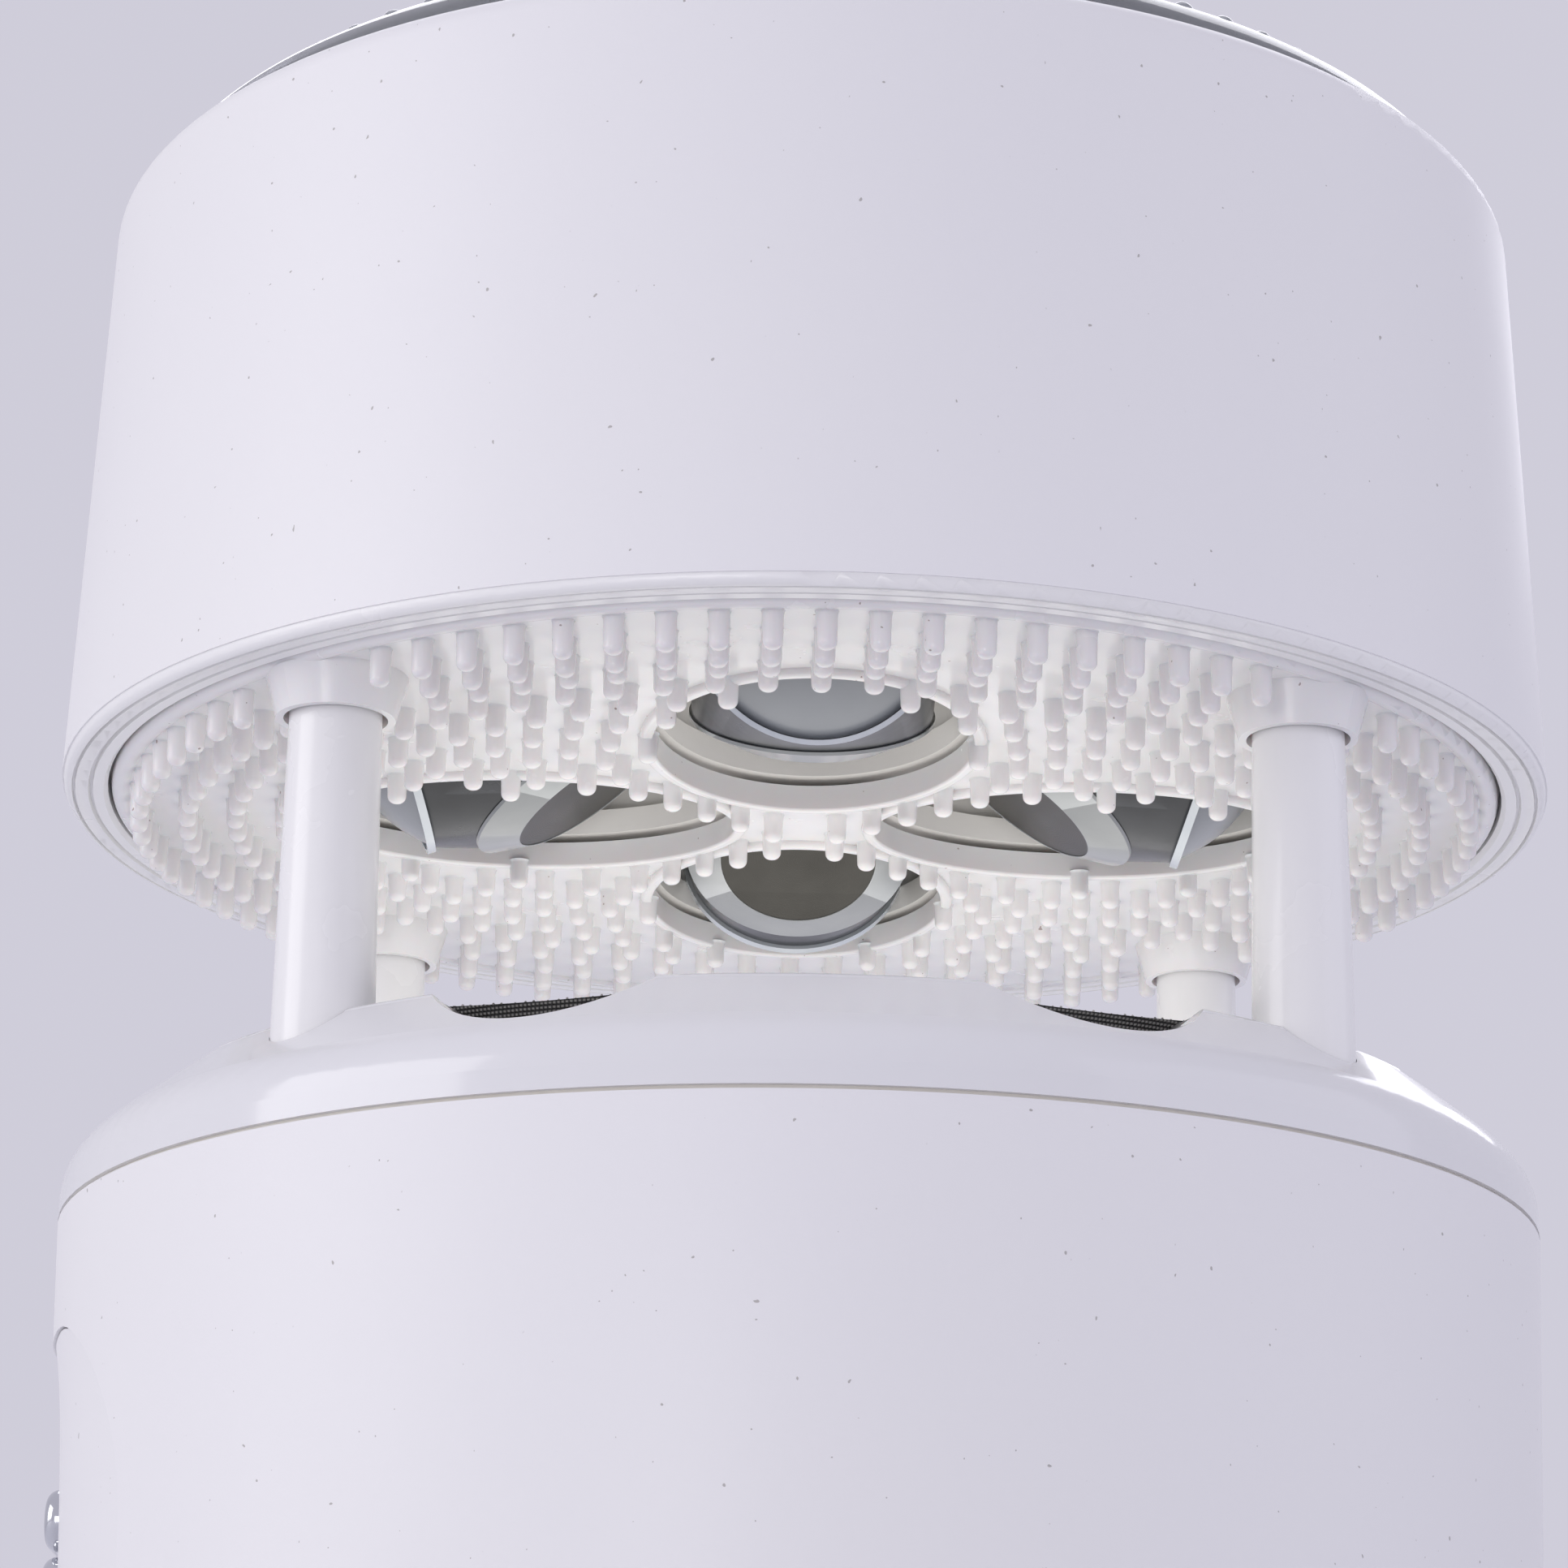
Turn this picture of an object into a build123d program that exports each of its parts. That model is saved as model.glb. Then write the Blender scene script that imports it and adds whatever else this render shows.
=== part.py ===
"""Table-top brush cleaner: a scrubbing head on four posts above a warm-air base.

Millimetres, +Z up, origin on the floor under the middle of the base.
The front faces -Y and the control panel faces -X.
"""

import os
from math import cos, radians, sin, sqrt

from build123d import *

os.makedirs("parts", exist_ok=True)

# ---- driving dimensions ----------------------------------------------------
MAT_RADIUS = 49.8  # scrub mat, out to its rounded flange edge
MAT_Z = 105.0  # height of the mat flange above the floor
DRAFT = 0.0203  # base wall: radius gained for each millimetre of height

WALL = 2.2  # injection-moulded walls
SOCKET_FIT = 0.05  # between a post and its socket in the head

SEAM_Z = 73.2  # parting line between the base wall and the rim cover
SEAM_RADIUS = 51.8
RIM_TOP_Z = 82.0
RIM_TOP_RADIUS = 45.5
BOWL_RADIUS = 44.9  # inner wall of the rim
SHELL_FOOT_Z = 2.4

POST_CIRCLE = 45.0
POST_LOW_RADIUS = 3.375
POST_TOP_RADIUS = 3.03
POST_TIP_Z = MAT_Z + 13.0
POST_SHANK_RADIUS = 2.5
POST_SHANK_Z = 72.0
POST_FOOT_Z = 77.5  # shoulder the post stands on

NOTCHES = 8
NOTCH_DEPTH = 3.3
NOTCH_HALF_WIDTH = 7.9

PANEL_Z = 42.4  # middle of the control panel
PANEL_HALF_HEIGHT = 22.6
PANEL_HALF_WIDTH = 26.5
PANEL_CORNER = 15.0
PANEL_GAP = 0.15

BUTTON_TOP_Z = 55.3
BUTTON_HEIGHT = 4.25
BUTTON_WIDTH = 12.0
BUTTON_GAP = 0.35
BUTTON_REACH = 51.3  # outer face, from the middle of the base
BUTTON_TRAVEL = 0.8

WINDOW_CENTRE = 20.25
WINDOW_LONG = 15.2  # radial half-axis
WINDOW_WIDE = 11.0  # sideways half-axis
WINDOW_LIP = 0.5  # the lip round a window stands this far below the mat
MAT_THICKNESS = 1.4
MAT_LOW_Z = MAT_Z + 0.05

DECK_Z = MAT_Z + 2.0
DECK_THICKNESS = 1.8
POCKET_WALL = 1.4
POCKET_TOP_Z = MAT_Z + 16.0

POD_RADIUS = 8.7  # both round ends of a lamp pod
LENS_TILT = 19.0  # the outer end looks this far below level
CONE_TILT = 54.0  # the inner end looks this far below level
LENS_LOW = (26.6, MAT_Z - 2.2)  # lowest point of the outer end: radius, height
CONE_LOW = (23.8, MAT_Z - 1.9)  # lowest point of the inner end

DRUM_LOW_RADIUS = 53.3
DRUM_LOW_Z = MAT_Z + 0.8
DRUM_HIGH_RADIUS = 51.5
DRUM_TOP_Z = MAT_Z + 43.0
RING_TOP_Z = MAT_Z + 47.0
BEADS = 80
BEAD_CIRCLE = 45.6
BEAD_RADIUS = 0.85

DIAGONALS = {"front_right": -45, "back_right": 45, "back_left": 135, "front_left": 225}
SIDES = {"front": -90, "right": 0, "back": 90, "left": 180}


def wall_radius(z):
    """Outer radius of the tapered base wall at a height."""
    return SEAM_RADIUS - DRAFT * (SEAM_Z - z)


def save(part, name):
    """Label a finished piece and write it as its own STEP file."""
    part.label = name
    export_step(part, f"parts/{name}.step")


def post_places(radius=POST_CIRCLE):
    return PolarLocations(radius, 4, start_angle=45)


# ---- base: wall, floor, feet -----------------------------------------------
COVER_TOP_Z = 5.0
LEDGE_TOP_Z = 7.0
SHELL_INNER_LOW = wall_radius(COVER_TOP_Z) - WALL
COVER_RADIUS = SHELL_INNER_LOW - 0.1
SCREW_CIRCLE = 41.0
SCREW_RADIUS = 1.25

SOCKET_Z = 14.0
SOCKET_WIDTH = 9.0
SOCKET_HEIGHT = 3.3

with BuildPart() as base_shell:
    with BuildSketch(Plane.XZ):
        with BuildLine():
            Polyline(
                (SHELL_INNER_LOW, SHELL_FOOT_Z),
                (wall_radius(SHELL_FOOT_Z) - 1.2, SHELL_FOOT_Z),
                (wall_radius(SHELL_FOOT_Z + 1.2), SHELL_FOOT_Z + 1.2),
                (SEAM_RADIUS, SEAM_Z),
                (SEAM_RADIUS - 1.2, SEAM_Z),
                (SEAM_RADIUS - 1.2, SEAM_Z - 1.6),
                (SEAM_RADIUS - WALL, SEAM_Z - 1.6),
                (wall_radius(LEDGE_TOP_Z) - WALL, LEDGE_TOP_Z),
                (37.0, LEDGE_TOP_Z),
                (37.0, COVER_TOP_Z),
                (SHELL_INNER_LOW, COVER_TOP_Z),
                close=True,
            )
        make_face()
    revolve(axis=Axis.Z)
    with BuildSketch(Plane.YZ.offset(-60)):
        with Locations((0, PANEL_Z)):
            RectangleRounded(2 * PANEL_HALF_WIDTH, 2 * PANEL_HALF_HEIGHT, PANEL_CORNER)
    extrude(amount=25, mode=Mode.SUBTRACT)
    with BuildSketch(Plane.XZ.offset(-60)):
        with Locations((0, SOCKET_Z)):
            SlotOverall(SOCKET_WIDTH + 0.4, SOCKET_HEIGHT + 0.4)
    extrude(amount=20, mode=Mode.SUBTRACT)
    with BuildSketch(Plane.XY.offset(COVER_TOP_Z)):
        with PolarLocations(SCREW_CIRCLE, 4, start_angle=45):
            Circle(SCREW_RADIUS)
    extrude(amount=LEDGE_TOP_Z - COVER_TOP_Z, mode=Mode.SUBTRACT)
    with BuildSketch(Plane.XY.offset(LEDGE_TOP_Z)):
        with Locations((0, 42.5)):
            Rectangle(12, 7)
    extrude(amount=SOCKET_Z - SOCKET_HEIGHT / 2 - LEDGE_TOP_Z)
save(base_shell.part, "base_shell")

with BuildPart() as bottom_cover:
    with BuildSketch(Plane.XY.offset(SHELL_FOOT_Z + 0.2)):
        Circle(COVER_RADIUS)
    extrude(amount=COVER_TOP_Z - SHELL_FOOT_Z - 0.2)
    with BuildSketch(Plane.XY.offset(SHELL_FOOT_Z + 0.2)):
        with PolarLocations(SCREW_CIRCLE, 4, start_angle=45):
            Circle(SCREW_RADIUS)
    extrude(amount=COVER_TOP_Z, mode=Mode.SUBTRACT)
    with BuildSketch(Plane.XY.offset(SHELL_FOOT_Z + 0.2)):
        with PolarLocations(SCREW_CIRCLE, 4, start_angle=45):
            Circle(2.7)
    extrude(amount=1.2, mode=Mode.SUBTRACT)
save(bottom_cover.part, "bottom_cover")

with BuildPart() as bottom_feet:
    with BuildSketch():
        with PolarLocations(38.0, 4):
            Circle(6.0)
    extrude(amount=SHELL_FOOT_Z + 0.2)
    chamfer(bottom_feet.faces().sort_by(Axis.Z)[:4].edges(), 0.5)
save(bottom_feet.part, "bottom_feet")

with BuildPart() as cover_screws:
    with BuildSketch(Plane.XY.offset(SHELL_FOOT_Z + 0.3)):
        with PolarLocations(SCREW_CIRCLE, 4, start_angle=45):
            Circle(2.6)
    extrude(amount=1.1)
    with BuildSketch(Plane.XY.offset(SHELL_FOOT_Z + 0.3)):
        with PolarLocations(SCREW_CIRCLE, 4, start_angle=45):
            Circle(SCREW_RADIUS - 0.02)
    extrude(amount=LEDGE_TOP_Z - SHELL_FOOT_Z)
save(cover_screws.part, "cover_screws")

# ---- base: rim cover with its rests for brush handles -----------------------
SHOULDER_Z = RIM_TOP_Z - 3.6
SHOULDER_RADIUS = 50.1
PEDESTAL_RADIUS = 5.2
PEDESTAL_LOW_Z = 68.0
PEDESTAL_REACH = 49.2  # stays inside the base wall
RIM_LOW_Z = SEAM_Z + 0.3
notch_radius = (NOTCH_HALF_WIDTH**2 + NOTCH_DEPTH**2) / (2 * NOTCH_DEPTH)


def rim_outline():
    """Outside of the rim cover, from the seam over the shoulder to the bowl."""
    Line((SEAM_RADIUS, RIM_LOW_Z), (SEAM_RADIUS - 0.05, RIM_LOW_Z + 1.5))
    Spline(
        (SEAM_RADIUS - 0.05, RIM_LOW_Z + 1.5),
        (SEAM_RADIUS - 0.55, RIM_LOW_Z + 3.5),
        (SHOULDER_RADIUS, SHOULDER_Z),
        tangents=((-0.03, 1), (-1, 0.9)),
    )
    Line((SHOULDER_RADIUS, SHOULDER_Z), (RIM_TOP_RADIUS + 0.7, RIM_TOP_Z - 0.35))
    ThreePointArc(
        (RIM_TOP_RADIUS + 0.7, RIM_TOP_Z - 0.35),
        (RIM_TOP_RADIUS + 0.1, RIM_TOP_Z - 0.02),
        (BOWL_RADIUS, RIM_TOP_Z - 0.5),
    )


with BuildPart() as rim_envelope:
    with BuildSketch(Plane.XZ):
        with BuildLine():
            rim_outline()
            Polyline(
                (BOWL_RADIUS, RIM_TOP_Z - 0.5),
                (BOWL_RADIUS, RIM_TOP_Z - 1.2),
                (0, RIM_TOP_Z - 1.2),
                (0, PEDESTAL_LOW_Z),
                (SEAM_RADIUS, PEDESTAL_LOW_Z),
                (SEAM_RADIUS, RIM_LOW_Z),
            )
        make_face()
    revolve(axis=Axis.Z)

with BuildPart() as pedestals:
    with BuildSketch(Plane.XY.offset(PEDESTAL_LOW_Z)):
        with post_places():
            Circle(PEDESTAL_RADIUS)
    extrude(amount=RIM_TOP_Z - PEDESTAL_LOW_Z)
    with BuildSketch(Plane.XY.offset(PEDESTAL_LOW_Z)):
        Circle(PEDESTAL_REACH)
    extrude(amount=RIM_TOP_Z - PEDESTAL_LOW_Z, mode=Mode.INTERSECT)
    add(rim_envelope.part, mode=Mode.INTERSECT)


with BuildPart() as notch_cutter:
    for k in range(NOTCHES):
        across = Plane.YZ.rotated((0, 0, 22.5 + 360 / NOTCHES * k)).offset(36)
        with BuildSketch(across):
            with Locations((0, RIM_TOP_Z - NOTCH_DEPTH + notch_radius)):
                Circle(notch_radius)
        extrude(amount=SEAM_RADIUS - 30)

with BuildPart() as rim_cover:
    with BuildSketch(Plane.XZ):
        with BuildLine():
            rim_outline()
            Polyline(
                (BOWL_RADIUS, RIM_TOP_Z - 0.5),
                (BOWL_RADIUS, PEDESTAL_LOW_Z),
                (BOWL_RADIUS + 1.8, PEDESTAL_LOW_Z),
                (BOWL_RADIUS + 1.8, RIM_TOP_Z - 4.6),
                (SHOULDER_RADIUS - 1.5, SHOULDER_Z - 2.2),
                (SEAM_RADIUS - 2.4, RIM_LOW_Z + 1.0),
                (SEAM_RADIUS - 2.4, SEAM_Z - 1.5),
                (SEAM_RADIUS - 1.3, SEAM_Z - 1.5),
                (SEAM_RADIUS - 1.3, RIM_LOW_Z),
                (SEAM_RADIUS, RIM_LOW_Z),
            )
        make_face()
    revolve(axis=Axis.Z)
    add(pedestals.part)
    add(notch_cutter.part, mode=Mode.SUBTRACT)
    with BuildSketch(Plane.XY.offset(POST_SHANK_Z)):
        with post_places():
            Circle(POST_SHANK_RADIUS + 0.05)
    extrude(amount=20, mode=Mode.SUBTRACT)
    with BuildSketch(Plane.XY.offset(POST_FOOT_Z)):
        with post_places():
            Circle(POST_LOW_RADIUS + 0.05)
    extrude(amount=20, mode=Mode.SUBTRACT)
    with BuildSketch(Plane.XY.offset(PEDESTAL_LOW_Z)):
        with post_places():
            Circle(SCREW_RADIUS + 0.05)
    extrude(amount=20, mode=Mode.SUBTRACT)
save(rim_cover.part, "rim_cover")

with BuildPart() as seam_seal:
    with BuildSketch(Plane.XZ):
        with Locations((SEAM_RADIUS - 0.8, SEAM_Z + 0.15)):
            Rectangle(0.8, 0.3)
    revolve(axis=Axis.Z)
save(seam_seal.part, "seam_seal")

# ---- base: dark liner and woven screen inside the rim ------------------------
LINER_RADIUS = BOWL_RADIUS - 0.05
LINER_THICKNESS = 1.9
LINER_TOP_Z = RIM_TOP_Z - 0.5
BOWL_FLOOR_Z = 66.0
SCREEN_THICKNESS = 0.6
SCREEN_TOP_Z = RIM_TOP_Z - 0.15
SCREEN_SAG = 0.35  # the screen's edge dips this far across each notch
screen_radius = LINER_RADIUS - LINER_THICKNESS
sag_radius = (NOTCH_HALF_WIDTH**2 + SCREEN_SAG**2) / (2 * SCREEN_SAG)


with BuildPart() as rim_liner:
    with BuildSketch(Plane.XZ):
        with BuildLine():
            Polyline(
                (screen_radius, BOWL_FLOOR_Z),
                (screen_radius, LINER_TOP_Z),
                (LINER_RADIUS, LINER_TOP_Z),
                (LINER_RADIUS, PEDESTAL_LOW_Z - 0.1),
                (LINER_RADIUS + 1.5, PEDESTAL_LOW_Z - 0.1),
                (LINER_RADIUS + 1.5, BOWL_FLOOR_Z - 1.4),
                (screen_radius - 3.0, BOWL_FLOOR_Z - 1.4),
                (screen_radius - 3.0, BOWL_FLOOR_Z),
                close=True,
            )
        make_face()
    revolve(axis=Axis.Z)
    with BuildSketch(Plane.XY.offset(BOWL_FLOOR_Z - 2)):
        with post_places():
            Circle(PEDESTAL_RADIUS + 0.05)
    extrude(amount=RIM_TOP_Z - BOWL_FLOOR_Z + 2, mode=Mode.SUBTRACT)
    add(notch_cutter.part, mode=Mode.SUBTRACT)
save(rim_liner.part, "rim_liner")

with BuildPart() as mesh_screen:
    with BuildSketch(Plane.XZ):
        with BuildLine():
            Polyline(
                (0, BOWL_FLOOR_Z),
                (screen_radius, BOWL_FLOOR_Z),
                (screen_radius, SCREEN_TOP_Z),
                (screen_radius - SCREEN_THICKNESS, SCREEN_TOP_Z),
                (screen_radius - SCREEN_THICKNESS, BOWL_FLOOR_Z + SCREEN_THICKNESS),
                (0, BOWL_FLOOR_Z + SCREEN_THICKNESS),
                close=True,
            )
        make_face()
    revolve(axis=Axis.Z)
    with BuildSketch(Plane.XY.offset(BOWL_FLOOR_Z - 2)):
        with post_places():
            Circle(PEDESTAL_RADIUS + 0.4)
    extrude(amount=RIM_TOP_Z - BOWL_FLOOR_Z + 2, mode=Mode.SUBTRACT)
    for k in range(NOTCHES):
        across = Plane.YZ.rotated((0, 0, 22.5 + 360 / NOTCHES * k)).offset(36)
        with BuildSketch(across):
            with Locations((0, SCREEN_TOP_Z - SCREEN_SAG + sag_radius)):
                Circle(sag_radius)
        extrude(amount=12, mode=Mode.SUBTRACT)
save(mesh_screen.part, "mesh_screen")

# ---- base: control panel and its two keys ------------------------------------
PANEL_BACK = 48.2
KEY_SLOT_HEIGHT = 2 * BUTTON_HEIGHT + BUTTON_GAP + 0.5
KEY_SLOT_WIDTH = BUTTON_WIDTH + 0.5
key_middle_z = BUTTON_TOP_Z - BUTTON_HEIGHT - BUTTON_GAP / 2
panel_top_z = PANEL_Z + PANEL_HALF_HEIGHT
panel_low_z = PANEL_Z - PANEL_HALF_HEIGHT


def panel_radius(z):
    """Panel face: just below the wall at its edge, dished towards its middle."""
    share = (z - PANEL_Z) / PANEL_HALF_HEIGHT
    return wall_radius(z) - 0.2 - 0.7 * sqrt(max(0, 1 - share**2))


with BuildPart() as control_panel:
    with BuildSketch(Plane.XZ):
        with BuildLine():
            steps = [panel_low_z + 2 * PANEL_HALF_HEIGHT * k / 10 for k in range(11)]
            Spline(*[(panel_radius(z), z) for z in steps])
            Polyline(
                (panel_radius(panel_top_z), panel_top_z),
                (PANEL_BACK, panel_top_z),
                (PANEL_BACK, panel_low_z),
                (panel_radius(panel_low_z), panel_low_z),
            )
        make_face()
    revolve(axis=Axis.Z)
    with BuildSketch(Plane.YZ.offset(-60)):
        with Locations((0, PANEL_Z)):
            RectangleRounded(
                2 * (PANEL_HALF_WIDTH - PANEL_GAP),
                2 * (PANEL_HALF_HEIGHT - PANEL_GAP),
                PANEL_CORNER - PANEL_GAP,
            )
    extrude(amount=25, mode=Mode.INTERSECT)
    with BuildSketch(Plane.YZ.offset(-60)):
        with Locations((0, key_middle_z)):
            RectangleRounded(KEY_SLOT_WIDTH, KEY_SLOT_HEIGHT, 2.2)
    extrude(amount=25, mode=Mode.SUBTRACT)
save(control_panel.part, "control_panel")

KEY_BACK = 47.0
for order, name in enumerate(("power_button", "mode_button")):
    low_z = BUTTON_TOP_Z - BUTTON_HEIGHT - order * (BUTTON_HEIGHT + BUTTON_GAP)
    with BuildPart() as key:
        with BuildSketch(Plane.YZ.offset(-BUTTON_REACH)):
            with Locations((0, low_z + BUTTON_HEIGHT / 2)):
                RectangleRounded(BUTTON_WIDTH, BUTTON_HEIGHT, BUTTON_HEIGHT / 2 - 0.05)
        extrude(amount=BUTTON_REACH - KEY_BACK)
        fillet(key.faces().sort_by(Axis.X)[0].edges(), 0.9)
        with BuildSketch(Plane.YZ.offset(-KEY_BACK)):
            with Locations((0, low_z + BUTTON_HEIGHT / 2)):
                Rectangle(BUTTON_WIDTH + 3, BUTTON_HEIGHT - 0.4)
        extrude(amount=1.0)
    save(key.part, name)

SWITCH_BOARD_X = -(KEY_BACK - 1.0 - BUTTON_TRAVEL - 0.5 - 3.0)
SWITCH_BOARD_LOW_Z = 30.6
SWITCH_BOARD_HEIGHT = 30.0
with BuildPart() as switch_board:
    with BuildSketch(Plane.YZ.offset(SWITCH_BOARD_X)):
        with Locations((0, SWITCH_BOARD_LOW_Z + SWITCH_BOARD_HEIGHT / 2)):
            Rectangle(18, SWITCH_BOARD_HEIGHT)
    extrude(amount=1.2)
    for order in range(2):
        middle = BUTTON_TOP_Z - BUTTON_HEIGHT / 2 - order * (BUTTON_HEIGHT + BUTTON_GAP)
        with BuildSketch(Plane.YZ.offset(SWITCH_BOARD_X)):
            with Locations((0, middle)):
                Rectangle(6.0, 3.8)
        extrude(amount=-2.2)
        with BuildSketch(Plane.YZ.offset(SWITCH_BOARD_X - 2.2)):
            with Locations((0, middle)):
                Circle(1.4)
        extrude(amount=-0.7)
save(switch_board.part, "switch_board")

# ---- base: battery, board, socket ---------------------------------------------
CELL_RADIUS = 9.2
CELL_LENGTH = 65.0
CELL_PITCH = 20.0
CELL_Z = LEDGE_TOP_Z + 1.6 + CELL_RADIUS
TRAY_LENGTH = 69.0
TRAY_WIDTH = 43.0
BOARD_Z = 29.0

with BuildPart() as battery_cells:
    with BuildSketch(Plane.YZ.offset(-CELL_LENGTH / 2)):
        with Locations((-CELL_PITCH / 2, CELL_Z), (CELL_PITCH / 2, CELL_Z)):
            Circle(CELL_RADIUS)
    extrude(amount=CELL_LENGTH)
    with BuildSketch(Plane.YZ.offset(CELL_LENGTH / 2)):
        with Locations((-CELL_PITCH / 2, CELL_Z), (CELL_PITCH / 2, CELL_Z)):
            Circle(3.0)
    extrude(amount=1.0)
save(battery_cells.part, "battery_cells")

with BuildPart() as battery_tray:
    with BuildSketch(Plane.XY.offset(LEDGE_TOP_Z)):
        Rectangle(TRAY_LENGTH, TRAY_WIDTH)
    extrude(amount=8.0)
    with BuildSketch(Plane.YZ.offset(-CELL_LENGTH / 2 - 0.5)):
        with Locations((-CELL_PITCH / 2, CELL_Z), (CELL_PITCH / 2, CELL_Z)):
            Circle(CELL_RADIUS + 0.05)
    extrude(amount=CELL_LENGTH + 2.0, mode=Mode.SUBTRACT)
    with BuildSketch(Plane.XY.offset(LEDGE_TOP_Z)):
        with GridLocations(TRAY_LENGTH - 6, TRAY_WIDTH + 4, 2, 2):
            Rectangle(6, 8)
    extrude(amount=8.0)
    with BuildSketch(Plane.XY.offset(LEDGE_TOP_Z)):
        with GridLocations(TRAY_LENGTH - 6, TRAY_WIDTH + 5, 2, 2):
            Circle(2.4)
    extrude(amount=BOARD_Z - LEDGE_TOP_Z)
save(battery_tray.part, "battery_tray")

with BuildPart() as main_board:
    with BuildSketch(Plane.XY.offset(BOARD_Z)):
        Circle(43.0)
    extrude(amount=1.6)
    with BuildSketch(Plane.XY.offset(BOARD_Z + 1.6)):
        with Locations((18, 12), (-16, 14)):
            Rectangle(9, 9)
        with Locations((20, -14)):
            Rectangle(12, 7)
        with Locations((-18, -14), (-6, -18), (4, -22)):
            Circle(3.0)
    extrude(amount=3.4)
save(main_board.part, "main_board")

with BuildPart() as charge_socket:
    with BuildSketch(Plane.XZ.offset(-wall_radius(SOCKET_Z) + 0.3)):
        with Locations((0, SOCKET_Z)):
            SlotOverall(SOCKET_WIDTH, SOCKET_HEIGHT)
            SlotOverall(SOCKET_WIDTH - 0.7, SOCKET_HEIGHT - 0.7, mode=Mode.SUBTRACT)
    extrude(amount=7.0)
    with BuildSketch(Plane.XZ.offset(-wall_radius(SOCKET_Z) + 6.0)):
        with Locations((0, SOCKET_Z)):
            SlotOverall(SOCKET_WIDTH, SOCKET_HEIGHT)
    extrude(amount=1.3)
    with BuildSketch(Plane.XZ.offset(-wall_radius(SOCKET_Z) + 1.2)):
        with Locations((0, SOCKET_Z)):
            Rectangle(6.4, 0.7)
    extrude(amount=5.0)
save(charge_socket.part, "charge_socket")

# ---- base: fan and heater ------------------------------------------------------
FAN_Z = 36.0
FAN_HEIGHT = 16.0
ROTOR_RADIUS = 32.0
DUCT_RADIUS = 34.0
MOTOR_RADIUS = 10.0
SHAFT_RADIUS = 1.5
BLADES = 7

with BuildPart() as fan_housing:
    with BuildSketch(Plane.XY.offset(FAN_Z)):
        Circle(DUCT_RADIUS + 2)
        Circle(DUCT_RADIUS, mode=Mode.SUBTRACT)
    extrude(amount=FAN_HEIGHT)
    with BuildSketch(Plane.XY.offset(FAN_Z)):
        Circle(MOTOR_RADIUS + 2)
        with PolarLocations(DUCT_RADIUS / 2, 4):
            Rectangle(DUCT_RADIUS + 1, 4)
        Circle(SHAFT_RADIUS + 0.6, mode=Mode.SUBTRACT)
    extrude(amount=2.0)
    with BuildSketch(Plane.XY.offset(BOARD_Z + 1.6)):
        with PolarLocations(DUCT_RADIUS + 3.5, 4, start_angle=45):
            Circle(2.6)
    extrude(amount=FAN_Z + 4 - BOARD_Z - 1.6)
save(fan_housing.part, "fan_housing")

with BuildPart() as fan_motor:
    with BuildSketch(Plane.XY.offset(FAN_Z + 2.0)):
        Circle(MOTOR_RADIUS)
    extrude(amount=7.0)
    with BuildSketch(Plane.XY.offset(FAN_Z + 2.0)):
        Circle(SHAFT_RADIUS + 0.05)
    extrude(amount=7.0, mode=Mode.SUBTRACT)
save(fan_motor.part, "fan_motor")

with BuildPart() as fan_shaft:
    with BuildSketch(Plane.XY.offset(FAN_Z + 0.6)):
        Circle(SHAFT_RADIUS)
    extrude(amount=12.4)
save(fan_shaft.part, "fan_shaft")

HUB_RADIUS = 13.0
HUB_TOP_Z = FAN_Z + 14.0
with BuildPart() as fan_rotor:
    with BuildSketch(Plane.XZ):
        with BuildLine():
            Polyline(
                (SHAFT_RADIUS, HUB_TOP_Z),
                (HUB_RADIUS - 1.5, HUB_TOP_Z),
                (HUB_RADIUS, HUB_TOP_Z - 1.5),
                (HUB_RADIUS, FAN_Z + 2.6),
                (HUB_RADIUS - 1.8, FAN_Z + 2.6),
                (HUB_RADIUS - 1.8, HUB_TOP_Z - 2.4),
                (SHAFT_RADIUS, HUB_TOP_Z - 2.4),
                close=True,
            )
        make_face()
    revolve(axis=Axis.Z)
    for k in range(BLADES):
        root = Plane.YZ.rotated((0, 0, 360 / BLADES * k))
        with BuildSketch(root.offset(HUB_RADIUS - 0.9)):
            with Locations((0, FAN_Z + 8.3)):
                Rectangle(13.0, 1.4, rotation=40)
        with BuildSketch(root.offset(ROTOR_RADIUS - 0.6)):
            with Locations((0, FAN_Z + 8.3)):
                Rectangle(17.0, 1.0, rotation=24)
        loft()
save(fan_rotor.part, "fan_rotor")

HEATER_Z = FAN_Z + FAN_HEIGHT + 2.0
with BuildPart() as heater:
    with BuildSketch(Plane.XY.offset(HEATER_Z)):
        Circle(DUCT_RADIUS + 2)
        Circle(DUCT_RADIUS - 0.5, mode=Mode.SUBTRACT)
        with GridLocations(0, 8.0, 1, 9):
            Rectangle(2 * DUCT_RADIUS, 1.0)
        Circle(DUCT_RADIUS + 2, mode=Mode.INTERSECT)
    extrude(amount=6.0)
    with BuildSketch(Plane.XY.offset(HEATER_Z - 2.0)):
        with PolarLocations(DUCT_RADIUS + 1.0, 4, start_angle=22.5):
            Circle(0.9)
    extrude(amount=2.0)
save(heater.part, "heater")

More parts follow.
